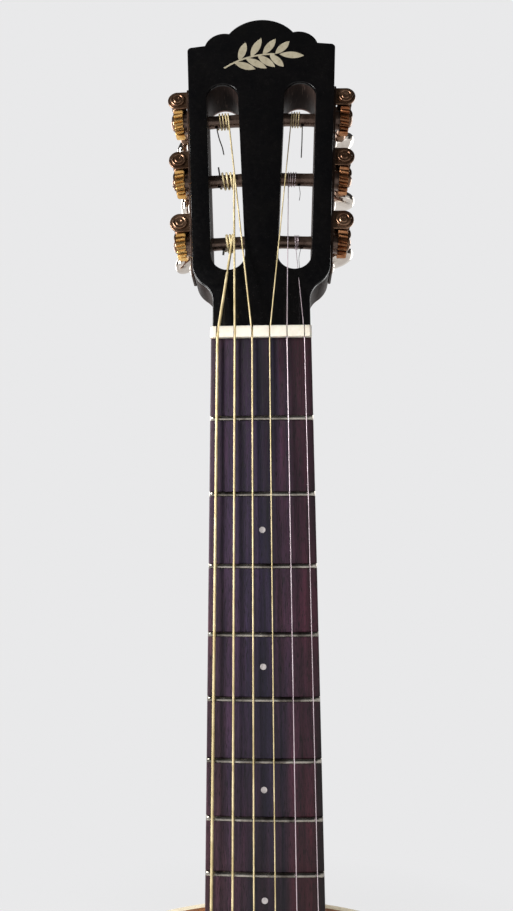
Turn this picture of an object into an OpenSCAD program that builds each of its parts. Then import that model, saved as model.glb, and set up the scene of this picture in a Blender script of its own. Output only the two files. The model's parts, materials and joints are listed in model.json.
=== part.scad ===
// Twelve-fret parlour acoustic guitar with a slotted headstock, as separate pieces.
// Frame: +Z runs up the neck, -Y is the front (soundboard side), +X is the treble side.
// The origin is the lowest point of the body rim, on the centreline, 50 mm behind the soundboard face.

/* [Scale and neck] */
// Scale length, nut to saddle
scale_len = 628.65; // [610:0.05:650]
// Width of the neck at the nut
nut_w = 44.45; // [42:0.05:48]
// Width of the neck at the body joint
joint_w = 54.2; // [52:0.1:58]
// Number of frets
fret_count = 18; // [16:1:19]
// Thickness of the fretboard at its centre
board_t = 6.2; // [5:0.1:7]
// Radius of the fretboard's crowned face
board_r = 406.4; // [300:0.1:500]

/* [Body] */
// Length of the body
body_len = 480; // [470:1:500]
// Half width of the lower bout
lower_hw = 176; // [165:1:190]
// Half width of the waist
waist_hw = 112; // [105:1:118]
// Half width of the upper bout
upper_hw = 127.5; // [122:0.5:132]
// Depth of the body at the tail
depth_tail = 106; // [95:1:115]
// Depth of the body at the neck
depth_neck = 99; // [88:1:106]
// Radius of the back's cross arch
back_r = 3000; // [2500:100:5000]
// Radius of the soundhole
hole_r = 47; // [44:0.5:50]

/* [Headstock] */
// Angle the headstock leans back
head_angle = 12; // [8:0.5:16]
// Thickness of the headstock with its face veneer
head_t = 19; // [17:0.5:21]
// Distance between neighbouring string posts
post_pitch = 35; // [34:0.5:36]

/* [Tuners] */
// Teeth on each tuner gear
gear_teeth = 14; // [14:1:16]
// Gear module
gear_m = 0.86; // [0.8:0.01:0.88]

/* [Hidden] */
$fn = 64;
eps = 0.02;              // gap that keeps glued neighbours separate solids
side_names = ["6_low_e", "5_a", "4_d", "3_g", "2_b", "1_high_e"];

// Body layout
face_y = -50;                        // outer face of the soundboard
tail_r = 300;                        // arc across the tail
lower_r = 125;
upper_r = 85;
top_r = 270;                         // arc across the shoulders
side_t = 2.2;
top_t = 2.8;
back_t = 2.6;
bind_h = 4;                          // depth of each binding strip
lining_w = 6.5;
lining_h = 15;
back_tail_y = face_y + depth_tail;
back_neck_y = face_y + depth_neck;
back_tilt = atan((back_tail_y - back_neck_y) / body_len);

// Stations along Z
function fret_z(n) = nut_z - scale_len * (1 - pow(2, -n / 12));
nut_z = body_len + scale_len / 2;    // the twelfth fret meets the body
saddle_z = nut_z - scale_len - 1.6;
board_end_z = fret_z(fret_count) - 5.5;
hole_z = board_end_z - 1 - hole_r;

// Neck layout
function neck_w(z) = nut_w + (joint_w - nut_w) * (nut_z - z) / (nut_z - body_len);
board_y = face_y - board_t;          // crown of the fretboard
nut_t = 5.5;
shaft_nut = 15;                      // wood behind the fretboard at the nut
shaft_joint = 17.5;                  // and at the heel
heel_len = 66;                       // length of the heel's root along the neck
heel_toe = 19;                       // length of the heel at its cap
heel_cap_t = 2;
tenon_w = 19;
tenon_len = 18;
tenon_depth = 72;                    // along the depth of the body
rod_y = face_y + 9.2;                // axis of the truss rod
rod_r = 2.4;
channel_w = 6.4;
rod_socket_z = body_len - 42;        // lower end of the truss rod's nut
block_h = 38;                        // neck block along Z
bolt_ys = [-24, 12];                 // depths of the two neck bolts
neck_block_hw = 37;
tail_block_hw = 39;
tail_block_t = 24;
bolt_r = 3;
insert_r = 4.6;

// Headstock layout, in its own plane: x across, t up from the nut, n back from the face
veneer_t = 1.6;
stem_hw = 22.3;                      // half width behind the nut
flare_hw0 = 32.1;                    // half width of the flare at t = flare_t0
flare_t0 = 38.5;
side_slope = 0.0464;                 // how the sides open towards the top
side_angle = atan(side_slope);
shoulder_t = 162.8;
slot_r = 7.95;
slot_x0 = 15.6;                      // slot centre at t = slot_t0
slot_slope = 0.0445;                 // how the slots open towards the top
slot_angle = atan(slot_slope);
slot_t0 = 43.8;
slot_t1 = 131.6;
post1_t = 54.4;                      // lowest string post
post_n = 9.5;                        // depth of the posts behind the face
function head_hw(t) = flare_hw0 + side_slope * (t - flare_t0);
function slot_x(t) = slot_x0 + slot_slope * (t - slot_t0);

// Tuner layout, in the side frame: x out of the headstock's side, y back, z up the side
plate_t = 1.2;
plate_y = [2.4, 16.6];
plate_z = [-19, 86];
gear_x = [3.7, 8.1];
gear_mid = (gear_x[0] + gear_x[1]) / 2;
worm_pitch_r = 2.85;
gear_pitch_r = gear_m * gear_teeth / 2;
worm_z = worm_pitch_r + gear_pitch_r;     // centre distance
ear_r = 5;
ear_t = 1;
ear_y = [2.9, 15.1];                      // front faces of the two bearing ears
post_r = 3.05;
post_gap = 0.05;
key_y = [31, 44];                         // button along its shaft
screw_zs = [-13, 20.5, 55.5];
gear_pressure = 25;

// Strings: radius and the place where each one meets nut, saddle and post
gauges = [0.66, 0.52, 0.40, 0.29, 0.20, 0.15];
nut_x = [for (i = [0:5]) -19.05 + 7.62 * i];
saddle_x = [for (i = [0:5]) -28.75 + 11.5 * i];
post_of = [0, 1, 2, 2, 1, 0];             // which post up the side each string winds on
coil_in = [10.2, 12.1, 10.4, 11.9, 12.4, 8.1];     // first turn, measured in from the slot's outer wall
coil_pitch = [1.4, 1.85, 1.45, 1.25, 1.2, 0.6];    // spacing of the turns along the post
nut_rest = 1.25;                          // string underside over the fretboard plane at the nut
nut_front = 1.2;                          // length of string seat in the nut
saddle_rest = 11.4;                       // string underside over the soundboard at the saddle
pin_z = saddle_z - 13;
pin_r = 2.5;
pin_depth = 10;                      // how far a pin reaches behind the soundboard's face
pin_head_r = 3.7;
string_exit = 3.6;                   // place of a string in its hole, past the pin's axis
bridge_w = 154;
bridge_l = 29;
bridge_h = 8.6;
saddle_t = 2.9;
saddle_len = 74;
saddle_slant = 2.2;                  // makes the bass strings a little longer
saddle_h = 11.38;                    // from the slot's floor to over the crown

BODY_NODES = ["soundboard", "back_plate", "sides", "bindings", "linings", "neck_block", "tail_block",
    "x_braces", "top_braces", "bridge_plate", "back_braces", "rosette", "heel_cap", "strap_button"];
NECK_NODES = ["neck", "headplate", "headstock_inlay", "fretboard", "frets", "position_dots", "nut",
    "truss_rod", "truss_rod_nut", "neck_bolts"];
TOP_NODES = ["bridge", "saddle", "bridge_pins", "tuner_plate_bass", "tuner_plate_treble", "plate_screws"];

// ---------- Helpers ----------

// Extrudes a plan shape drawn in (x, z), from y = front backwards
module plan(front, thick) {
    translate([0, front + thick, 0]) rotate([90, 0, 0]) linear_extrude(thick) children();
}

// Round bar between two points
module rod(p, q, r) {
    v = q - p;
    translate(p)
        rotate([0, acos(v[2] / norm(v)), atan2(v[1], v[0])])
            cylinder(r = r, h = norm(v), $fn = 32);
}

module both_sides() {
    children();
    mirror([1, 0, 0]) children();
}

function unit(v) = v / norm(v);
function bearing(v) = atan2(v[1], v[0]);
function reversed(list) = [for (i = [len(list) - 1:-1:0]) list[i]];
function mirrored(points) = [for (p = reversed(points)) [-p[0], p[1]]];

// Points along an arc about c, from angle a0 to a1
function arc_points(c, r, a0, a1, n = 12) =
    [for (i = [0:n]) let (a = a0 + (a1 - a0) * i / n) c + r * [cos(a), sin(a)]];

// ---------- Body outline ----------

lower_c = [lower_hw - lower_r, tail_r - sqrt(pow(tail_r - lower_r, 2) - pow(lower_hw - lower_r, 2))];
upper_c = [upper_hw - upper_r,
    body_len - top_r + sqrt(pow(top_r - upper_r, 2) - pow(upper_hw - upper_r, 2))];
tail_c = [0, tail_r];
top_c = [0, body_len - top_r];

// The waist circle touches both bouts: its height solves a quadratic in z
waist_a = waist_hw - lower_c[0];
waist_b = waist_hw - upper_c[0];
waist_ka = 2 * (lower_r - waist_a);
waist_kb = 2 * (upper_r - waist_b);
quad_a = waist_kb - waist_ka;
quad_b = -2 * (waist_kb * lower_c[1] - waist_ka * upper_c[1]);
quad_c = waist_kb * (pow(lower_c[1], 2) + pow(waist_a, 2) - pow(lower_r, 2))
    - waist_ka * (pow(upper_c[1], 2) + pow(waist_b, 2) - pow(upper_r, 2));
waist_z = (-quad_b + sqrt(quad_b * quad_b - 4 * quad_a * quad_c)) / (2 * quad_a);
waist_r = (pow(waist_z - lower_c[1], 2) + pow(waist_a, 2) - pow(lower_r, 2)) / waist_ka;
waist_c = [waist_hw + waist_r, waist_z];

// Right half of the outline from the tail to the shoulders, set in from the rim
function outline_half(inset) =
    let (a_tail = bearing(lower_c - tail_c), a_low = bearing(waist_c - lower_c),
        a_up = bearing(upper_c - waist_c), a_top = bearing(upper_c - top_c))
        concat(
            arc_points(tail_c, tail_r - inset, -90, a_tail, 8),
            arc_points(lower_c, lower_r - inset, a_tail, a_low, 16),
            arc_points(waist_c, waist_r + inset, a_low + 180, a_up, 10),
            arc_points(upper_c, upper_r - inset, a_up - 180, a_top, 14),
            arc_points(top_c, top_r - inset, a_top, 90, 8));

module outline(inset = 0) {
    half = outline_half(inset);
    polygon(concat(half, mirrored(half)));
}

// Cross arch of the back: points on a circle of radius back_r, moved out by grow
arch_x = [for (x = [-200:20:200]) x];
function arch(grow) = [for (x = arch_x) [x, sqrt(pow(back_r + grow, 2) - x * x) - back_r]];

module along_back() {
    translate([0, back_tail_y, 0]) rotate([back_tilt, 0, 0]) translate([0, 0, -40])
        linear_extrude(body_len + 90) children();
}

// Everything in front of a surface parallel to the back
module under_back(grow = 0) {
    along_back() polygon(concat([[-200, -180]], arch(grow), [[200, -180]]));
}

// The layer between two surfaces parallel to the back
module back_layer(outer, inner) {
    along_back() polygon(concat(arch(outer), reversed(arch(inner))));
}

module ring(outer, inner) {
    difference() {
        outline(outer);
        outline(inner);
    }
}

// ---------- Body ----------

module soundboard() {
    color("burlywood") difference() {
        plan(face_y, top_t) difference() {
            outline(side_t + eps);
            translate([0, hole_z]) circle(hole_r);
        }
        rosette_band(eps);
        pin_holes();
    }
}

rosette_in = 5;                      // rings measured out from the soundhole
rosette_out = 14;
rosette_t = 1;
module rosette_band(gap) {
    plan(face_y - gap, rosette_t + gap) translate([0, hole_z]) difference() {
        circle(hole_r + rosette_out + gap, $fn = 128);
        circle(hole_r + rosette_in - gap, $fn = 128);
    }
}

// The rosette stops where the fretboard covers it
module rosette() {
    color("saddlebrown") rosette_band(0);
}

module back_plate() {
    color("sienna") intersection() {
        plan(face_y + 50, 80) outline(side_t + eps);
        back_layer(0, -back_t);
    }
}

module sides() {
    color("sienna") difference() {
        intersection() {
            plan(face_y + bind_h + eps, 120) ring(0, side_t);
            under_back(-bind_h - eps);
        }
        tenon(0.15);
        translate([0, 0, -5]) cylinder(r = 3.1, h = 20);
    }
}

module bindings() {
    color("ivory") {
        plan(face_y, bind_h) ring(0, side_t);
        intersection() {
            plan(face_y + 60, 60) ring(0, side_t);
            back_layer(0, -bind_h);
        }
    }
}

module linings() {
    color("peru") {
        plan(face_y + top_t + eps, lining_h) lining_plan();
        intersection() {
            plan(face_y + 40, 80) lining_plan();
            back_layer(-back_t - eps, -back_t - lining_h);
        }
    }
}

lining_stop = 46;                    // the linings stop this far from the centreline
module lining_plan() {
    difference() {
        ring(side_t + eps, side_t + lining_w);
        translate([-lining_stop, body_len - block_h - 8]) square([2 * lining_stop, block_h + 20]);
        translate([-lining_stop, -5]) square([2 * lining_stop, 34]);
    }
}

module neck_block() {
    color("peru") difference() {
        intersection() {
            plan(face_y + top_t + eps, 110) intersection() {
                outline(side_t + eps);
                translate([-neck_block_hw, body_len - block_h]) square([2 * neck_block_hw, block_h + 10]);
            }
            under_back(-back_t - eps);
        }
        tenon(0.15);
        for (y = bolt_ys)
            translate([0, y, body_len - block_h - 5]) cylinder(r = bolt_r + 0.25, h = block_h);
        translate([0, rod_y, body_len - block_h - 5]) cylinder(r = 5, h = block_h);
    }
}

module tail_block() {
    color("peru") difference() {
        intersection() {
            plan(face_y + top_t + eps, 110) intersection() {
                outline(side_t + eps);
                translate([-tail_block_hw, 0]) square([2 * tail_block_hw, tail_block_t]);
            }
            under_back(-back_t - eps);
        }
        translate([0, 0, -5]) cylinder(r = 3.1, h = 50);
    }
}

// One brace bar: tall in the middle, feathered at both ends, lying along +x and glued under the top
module brace_bar(len, w, h, foot = 2.2) {
    feather = min(45, len / 4);
    translate([0, 0, -w / 2]) linear_extrude(w)
        polygon([[-len / 2, 0], [len / 2, 0], [len / 2, foot], [len / 2 - feather, h],
            [-len / 2 + feather, h], [-len / 2, foot]]);
}

// Places a bar on the inside of the soundboard at (x, z), turned in the plan by turn
module on_top(x, z, turn) {
    translate([x, face_y + top_t + eps, z]) rotate([0, -turn, 0]) children();
}

x_cross_z = 262;
x_len = 330;
x_angle = 50;
x_w = 8;
x_h = 13;
module x_braces() {
    color("wheat") for (s = [-1, 1])
        difference() {
            on_top(0, x_cross_z, s * x_angle) brace_bar(x_len, x_w, x_h);
            // each leg loses the half of its height that the other one fills
            on_top(0, x_cross_z, -s * x_angle)
                translate([-6, s > 0 ? x_h / 2 - eps : -1, -x_w / 2 - 0.05])
                    cube([12, x_h / 2 + (s > 0 ? 2 : 1), x_w + 0.1]);
        }
}

module top_braces() {
    color("wheat") {
        difference() {
            on_top(0, 401, 0) brace_bar(216, 12, 15);
            translate([0, rod_y, 380]) cylinder(r = 5, h = 60);
        }
        on_top(-18, 110, -20) brace_bar(150, 6.5, 9);
        on_top(-14, 72, -20) brace_bar(130, 6.5, 9);
        for (s = [-1, 1]) {
            on_top(s * 118, 176, s * 18) brace_bar(54, 6, 7);
            on_top(s * (hole_r + 10), hole_z + 32, 90) brace_bar(36, 6, 6);
        }
    }
}

plate_under = 2.4;                   // thickness of the bridge plate
module bridge_plate() {
    color("tan") difference() {
        plan(face_y + top_t + eps, plate_under)
            polygon([[-60, pin_z - 12], [60, pin_z - 12], [44, pin_z + 34], [-44, pin_z + 34]]);
        pin_holes();
    }
}

back_brace_zs = [72, 168, 300, 396];
module back_braces() {
    color("wheat") {
        for (z = back_brace_zs)
            intersection() {
                plan(face_y + 50, 80) intersection() {
                    outline(side_t + lining_w + 0.5);
                    translate([-200, z - 4]) square([400, 8]);
                }
                back_layer(-back_t - eps, -back_t - 14);
            }
        for (i = [0:4]) {
            z0 = i == 0 ? 27 : back_brace_zs[i - 1] + 5;
            z1 = i == 4 ? body_len - block_h - 3 : back_brace_zs[i] - 5;
            intersection() {
                plan(face_y + 50, 80) translate([-9, z0]) square([18, z1 - z0]);
                back_layer(-back_t - eps, -back_t - 2);
            }
        }
    }
}

heel_cap_w = 26;
module heel_cap() {
    color("ivory") intersection() {
        plan(back_neck_y - heel_cap_t, heel_cap_t) difference() {
            heel_plan(heel_cap_w, heel_toe);
            outline(-eps);
        }
        translate([-60, -200, body_len - 5]) cube([120, 400, 100]);
    }
}

strap_r = 7;                         // rims of the strap button
strap_waist = 4;
strap_len = 12.9;
module strap_button() {
    color("black") rotate([180, 0, 0]) {
        rotate_extrude() polygon([[0, eps], [strap_r, eps], [strap_r, 1.4], [4.6, 2.6],
            [strap_waist, 4.5], [strap_waist, 7.5], [5.2, 9.2], [strap_r, 9.9],
            [strap_r, strap_len], [5.8, strap_len + 1.1], [0, strap_len + 1.1]]);
        translate([0, 0, -26]) cylinder(r = 2.9, h = 26.5);
    }
}

// ---------- Neck ----------

// Plan of the heel: flat against the body, round towards the nut
module heel_plan(w, len) {
    intersection() {
        translate([-w / 2, body_len - 3]) square([w, len + 3]);
        translate([0, body_len + len - w * 0.62]) circle(r = w * 0.62);
    }
    translate([-w / 2, body_len - 3]) square([w, max(len - w * 0.3, 3)]);
}

// Back of the neck: each section along Z is half of a rounded curve behind the fretboard's glue face
heel_depth = back_neck_y - face_y - heel_cap_t - eps;
function toe_round(u) = heel_depth / sqrt(1 - pow(heel_tip_share * sqrt(max(1 - u * u, 0)), 2));
function sweep_in(v) = 1 - sqrt(max(1 - pow(1 - v, 2), 0));
function shaft_depth(z) = shaft_joint + (shaft_nut - shaft_joint) * (z - body_len) / (nut_z - body_len);
function volute(z) = pow(max(min((z - volute_z) / volute_len, 1), 0), 2) * (head_t - shaft_nut + 1.2);
function neck_depth(z) =
    let (u = (z - body_len) / heel_toe, v = (z - body_len - heel_toe) / (heel_len - heel_toe))
        u <= 1 ? toe_round(max(u, 0))
        : v < 1 ? shaft_depth(z) + (heel_depth - shaft_depth(z)) * sweep_in(v)
        : shaft_depth(z) + volute(z);
function neck_power(z) = 1 - 0.55 * max(min((z - volute_z) / volute_len, 1), 0);
function neck_loop(z) =
    let (w = neck_w(z) / 2, d = neck_depth(z), p = neck_power(z))
        [for (a = [0:9:180]) [w * sign(cos(a)) * pow(abs(cos(a)), p), face_y + d * pow(sin(a), p), z]];
heel_tip_share = 0.48;               // width of the heel's cap over its width at the fretboard
volute_z = nut_z - 24;               // where the shaft starts to thicken into the headstock
volute_len = 22;
neck_zs = concat(
    [for (u = [-0.1, 0.35, 0.6, 0.8, 0.93, 1]) body_len + heel_toe * u],
    [for (v = [0.012, 0.05, 0.11, 0.2, 0.31, 0.44, 0.58, 0.74, 0.88])
        body_len + heel_toe + (heel_len - heel_toe) * v],
    [for (v = [0:0.25:1]) body_len + heel_len + (volute_z - body_len - heel_len) * v],
    [for (v = [0.25:0.25:1]) volute_z + volute_len * v],
    [nut_z + 3]);

// Skin over closed loops that run counter-clockwise about the direction they are listed in.
// The ends are capped, or with closed set the last loop joins the first.
module skin(loops, closed = false) {
    n = len(loops[0]);
    m = len(loops);
    walls = [for (s = [0:m - (closed ? 1 : 2)]) for (i = [0:n - 1])
        let (j = (i + 1) % n, a = s * n, b = (s + 1) % m * n)
            each [[a + i, b + j, a + j], [a + i, b + i, b + j]]];
    ends = [[for (i = [0:n - 1]) i], [for (i = [n - 1:-1:0]) (m - 1) * n + i]];
    polyhedron([for (l = loops) each l], closed ? walls : concat(walls, ends));
}

// The tenon under the heel, let into the neck block
module tenon(gap = 0) {
    translate([-tenon_w / 2 - gap, face_y + bind_h + 0.2 - gap, body_len - tenon_len - gap])
        cube([tenon_w + 2 * gap, tenon_depth + 2 * gap, tenon_len + 4]);
}

module at_head() {
    translate([0, face_y, nut_z]) rotate([-head_angle, 0, 0]) children();
}

// Extrudes a headstock-plane shape drawn in (x, t), from n = front backwards
module head_plan(front, thick) {
    at_head() plan(front, thick) children();
}

fillet_r = 11;
flare_r = 12;
flare_c = [flare_hw0 - flare_r, flare_t0];
fillet_c = [stem_hw + fillet_r,
    flare_t0 - sqrt(pow(flare_r + fillet_r, 2) - pow(stem_hw + fillet_r - flare_c[0], 2))];
corner_r = 2.2;
corner_c = [head_hw(shoulder_t - 2.4) - corner_r, shoulder_t - 2.6];
shoulder_top = shoulder_t + 0.4;
lobe_c = [19, 160.4];                // small lobe beside the crown
lobe_r = 10.2;
crown_c = [0, 158.1];                // lobe at the middle of the top edge
crown_r = 20.5;
lobe_gap = norm(lobe_c - crown_c);
notch_a = bearing(lobe_c - crown_c)
    + acos((pow(crown_r, 2) + pow(lobe_gap, 2) - pow(lobe_r, 2)) / (2 * crown_r * lobe_gap));
notch = crown_c + crown_r * [cos(notch_a), sin(notch_a)];
head_half = let (a_touch = bearing(flare_c - fillet_c)) concat(
    [[stem_hw, -1]],
    arc_points(fillet_c, fillet_r, 180, a_touch, 8),
    arc_points(flare_c, flare_r, a_touch - 180, 0, 10),
    arc_points(corner_c, corner_r, 0, 90, 6),
    arc_points(lobe_c, lobe_r, asin((shoulder_top - lobe_c[1]) / lobe_r), bearing(notch - lobe_c), 12),
    arc_points(crown_c, crown_r, notch_a, 90, 12));
module head_outline() {
    polygon(concat(head_half, mirrored(head_half)));
}

module slots() {
    both_sides() polygon(concat(
        arc_points([slot_x0, slot_t0], slot_r, 180 - slot_angle, 360 - slot_angle, 16),
        arc_points([slot_x(slot_t1), slot_t1], slot_r, -slot_angle, 180 - slot_angle, 16)));
}

// Moves to post k on the treble side: x out of the side, y back from the face, z up the side
module at_post(k) {
    t = post1_t + k * post_pitch * cos(side_angle);
    at_head() translate([head_hw(t), 0, t]) rotate([0, side_angle, 0]) children();
}

// Length of a post inside the headstock: across the slot and into the centre web
web_bore = 6;
function post_in(k) =
    let (t = post1_t + k * post_pitch)
        (head_hw(t) - slot_x(t) + slot_r) / cos(side_angle) + web_bore;

module post_bores() {
    both_sides() for (k = [0:2])
        at_post(k) translate([-post_in(k) - 0.4, post_n, 0]) rotate([0, 90, 0])
            cylinder(r = post_r + post_gap, h = post_in(k) + 5);
}

// Grooves that let the outer strings pass the lower ends of the slots
ramp_gap = 0.3;
module string_ramps() {
    for (i = [0, 5]) {
        a = nut_point(i);
        b = wrap_point(i);
        rod(a + (b - a) * 0.25, a + (b - a) * 0.9, gauges[i] + ramp_gap);
    }
}

module neck() {
    color("saddlebrown") difference() {
        union() {
            skin([for (z = neck_zs) neck_loop(z)]);
            tenon();
            head_plan(veneer_t, head_t - veneer_t) head_outline();
        }
        // the heel ends on its cap, and the neck on the rim, except for the tenon
        translate([-60, back_neck_y - heel_cap_t - eps, body_len - 60]) cube([120, 60, 200]);
        difference() {
            plan(face_y - 1, 200) outline(-eps);
            tenon();
        }
        // nothing stands over the fretboard's glue face or in front of the veneer
        translate([-60, face_y - 20, body_len - 60]) cube([120, 20, nut_z - body_len + 60]);
        head_plan(veneer_t - 30, 30) translate([-60, 0]) square([120, 200]);
        head_plan(-1, 40) slots();
        string_ramps();
        post_bores();
        // truss rod channel, bolt inserts and plate screws
        translate([-channel_w / 2, face_y - 1, body_len - tenon_len - 1])
            cube([channel_w, rod_y + rod_r + 0.3 - face_y + 1, nut_z - body_len - 2]);
        for (y = bolt_ys)
            translate([0, y, body_len - tenon_len - 1]) cylinder(r = insert_r + 0.05, h = 31);
        both_sides() plate_screw_holes(1.25);
    }
}

// Half-space behind the nut
module past_nut() {
    translate([-60, face_y - 60, nut_z + nut_t + eps]) cube([120, 200, 300]);
}

module headplate() {
    color([0.05, 0.05, 0.05]) difference() {
        intersection() {
            head_plan(0, veneer_t - eps) difference() {
                head_outline();
                slots();
            }
            past_nut();
        }
        inlay_body(eps);
        string_ramps();
    }
}

// A leaf is where two circles overlap; length and width set their size
module leaf(len, w) {
    r = (len * len / 4 + w * w / 4) / w;
    translate([len / 2, 0]) intersection() {
        translate([0, r - w / 2]) circle(r);
        translate([0, -r + w / 2]) circle(r);
    }
}

// A curved stem with paired leaves and one leaf at its tip
stem_r = 40;
stem_half = 0.5;
stem_reach = 16;                     // half the length of the stem
leaf_len = 12.6;
leaf_w = 4;
leaf_turn = 50;                      // angle between a leaf and the stem
module sprig() {
    intersection() {
        difference() {
            translate([0, -stem_r]) circle(stem_r + stem_half, $fn = 128);
            translate([0, -stem_r]) circle(stem_r - stem_half, $fn = 128);
        }
        polygon([[0, -stem_r], [-stem_reach, 5], [stem_reach, 5]]);
    }
    for (a = [-18, -9, 0, 9])
        for (s = [-1, 1])
            rotate_about_stem(a - 2 * s) rotate(s * leaf_turn) leaf(leaf_len - abs(a) / 9, leaf_w);
    rotate_about_stem(-23) leaf(leaf_len, leaf_w);
}

module rotate_about_stem(a) {
    translate([0, -stem_r]) rotate(a) translate([0, stem_r]) children();
}

inlay_t = 0.52;
sprig_at = [-6.5, 155];
sprig_turn = 17;
module inlay_body(gap) {
    head_plan(-0.01 - gap, inlay_t + gap) translate(sprig_at) rotate(sprig_turn) sprig();
}

module headstock_inlay() {
    color("wheat") inlay_body(0);
}

module board_plan(grow = 0) {
    polygon([[-neck_w(board_end_z) / 2 - grow, board_end_z], [neck_w(board_end_z) / 2 + grow, board_end_z],
        [nut_w / 2 + grow, nut_z - eps], [-nut_w / 2 - grow, nut_z - eps]]);
}

// The crowned volume under the fretboard's face, moved out by grow
module crown(grow = 0) {
    translate([0, board_y + board_r, board_end_z - 20])
        cylinder(r = board_r + grow, h = nut_z - board_end_z + 40, $fn = 256);
}

dot_r = 1.4;
dot_frets = [3, 5, 7, 9, 12, 15];
function dot_z(n) = (fret_z(n) + fret_z(n - 1)) / 2;
fret_w = 2.2;
fret_h = 1.05;
tang_w = 0.56;
module fretboard() {
    color([0.25, 0.15, 0.12]) difference() {
        intersection() {
            plan(board_y - 1, board_t + 1 - eps) board_plan();
            crown();
        }
        for (n = [1:fret_count])
            translate([-40, board_y - 1, fret_z(n) - tang_w / 2 - 0.02])
                cube([80, 3.6, tang_w + 0.04]);
        dots(eps);
    }
}

module dots(gap) {
    for (n = dot_frets)
        for (x = n == 12 ? [-9, 9] : [0])
            translate([x, board_y + 1.3 + gap, dot_z(n)]) rotate([90, 0, 0])
                cylinder(r = dot_r + gap, h = 2.5, $fn = 32);
}

module position_dots() {
    color("gainsboro") intersection() {
        dots(0);
        crown();
    }
}

// A fret follows the board's radius; its ends are bevelled in line with the board's edge
module frets() {
    color("silver") for (n = [1:fret_count]) {
        w = neck_w(fret_z(n)) / 2;
        intersection() {
            union() {
                translate([0, board_y + board_r, fret_z(n)])
                    rotate([0, 0, -95]) rotate_extrude(angle = 10, $fn = 256)
                        translate([board_r + 0.01, 0]) intersection() {
                            translate([fret_h - fret_w * 0.53, 0]) circle(r = fret_w * 0.53, $fn = 32);
                            translate([0, -fret_w / 2]) square([fret_h + 1, fret_w]);
                        }
                translate([-w, board_y - 0.4, fret_z(n) - tang_w / 2]) cube([2 * w, 2.4, tang_w]);
            }
            translate([0, 0, fret_z(n) - 2]) linear_extrude(4)
                polygon([[-w + 0.05, board_y + 4], [-w + 0.05, board_y + 0.7], [-w + 1.4, board_y - 1.4],
                    [w - 1.4, board_y - 1.4], [w - 0.05, board_y + 0.7], [w - 0.05, board_y + 4]]);
        }
    }
}

nut_top = 2.4;                       // height of the nut over the fretboard
string_break = 28;                   // slope behind the nut, steeper than any string
module nut() {
    color("ivory") difference() {
        translate([0, 0, nut_z + eps]) linear_extrude(nut_t) difference() {
            translate([-nut_w / 2 - 0.1, board_y - nut_top]) square([nut_w + 0.2, board_t + nut_top + 2]);
            for (i = [0:5]) nut_slot(nut_point(i), gauges[i] + 0.04);
        }
        head_plan(veneer_t - eps, 30) translate([-40, -20]) square([80, 60]);
        translate([-40, nut_point(0)[1] + gauges[0] + 0.04, nut_z + nut_front])
            rotate([-string_break, 0, 0]) translate([0, -12, 0]) cube([80, 12, 20]);
    }
}

// Open slot for a string, drawn in (x, y)
module nut_slot(p, r) {
    translate([p[0], p[1]]) {
        circle(r, $fn = 32);
        translate([-0.9 * r, -4]) square([1.8 * r, 4]);
    }
}

rod_bar_w = 5.8;
module truss_rod() {
    color("gray") {
        translate([0, rod_y, rod_socket_z + 9]) cylinder(r = rod_r, h = nut_z - rod_socket_z - 36);
        // flat bar in front of the rod, and the blocks that join them at both ends
        bar_z = body_len + 3;
        translate([-rod_bar_w / 2, face_y + 3.2, bar_z]) cube([rod_bar_w, 3.3, nut_z - 22 - bar_z]);
        for (z = [bar_z, nut_z - 30])
            translate([-rod_bar_w / 2, face_y + 3.2, z]) cube([rod_bar_w, 8.6, 8]);
    }
}

module truss_rod_nut() {
    color("dimgray") translate([0, rod_y, rod_socket_z]) difference() {
        cylinder(r = 4.2, h = 14);
        translate([0, 0, -1]) cylinder(r = 2.6, h = 7.5, $fn = 6);
        translate([0, 0, 6]) cylinder(r = rod_r + 0.05, h = 10);
    }
}

module neck_bolts() {
    color("gray") for (y = bolt_ys) translate([0, y, body_len - block_h]) {
        translate([0, 0, -1.6 - eps]) difference() {
            cylinder(r = 8, h = 1.6);
            translate([0, 0, -1]) cylinder(r = bolt_r + 0.2, h = 4);
        }
        translate([0, 0, -5.9]) difference() {
            union() {
                cylinder(r = 5.2, h = 4.2);
                cylinder(r = bolt_r, h = block_h + 13);
            }
            translate([0, 0, -1]) cylinder(r = 2.5, h = 4, $fn = 6);
        }
        translate([0, 0, block_h - tenon_len + 4]) difference() {
            cylinder(r = insert_r, h = 24);
            translate([0, 0, -1]) cylinder(r = bolt_r + 0.05, h = 30);
        }
    }
}

// ---------- Bridge ----------

module pin_holes() {
    for (x = saddle_x) {
        translate([x, face_y + 12, pin_z]) rotate([90, 0, 0]) cylinder(r = pin_r + 0.1, h = 40, $fn = 32);
        translate([x - 0.9, face_y - 30, pin_z]) cube([1.8, 42, string_exit + 0.7]);
    }
}

module bridge() {
    color([0.25, 0.15, 0.12]) difference() {
        plan(face_y - bridge_h, bridge_h - eps) bridge_plan();
        // wings slope down on each side
        both_sides() translate([bridge_w / 2 - 34, face_y - bridge_h, 0]) rotate([0, 0, 9.2])
            translate([0, -12, 0]) cube([60, 12, 400]);
        translate([0, 0, saddle_z]) rotate([0, -saddle_slant, 0])
            translate([-saddle_len / 2 - 0.03, face_y - bridge_h - 1, -saddle_t / 2 - 0.03])
                cube([saddle_len + 0.06, 7, saddle_t + 0.06]);
        pin_holes();
    }
}

module bridge_plan() {
    r = 5;
    lo = saddle_z - bridge_l + 9;
    translate([-bridge_w / 2 + r, lo]) square([bridge_w - 2 * r, bridge_l]);
    translate([-bridge_w / 2, lo + r]) square([bridge_w, bridge_l - 2 * r]);
    for (x = [-1, 1])
        for (z = [lo + r, lo + bridge_l - r])
            translate([x * (bridge_w / 2 - r), z]) circle(r);
}

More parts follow.
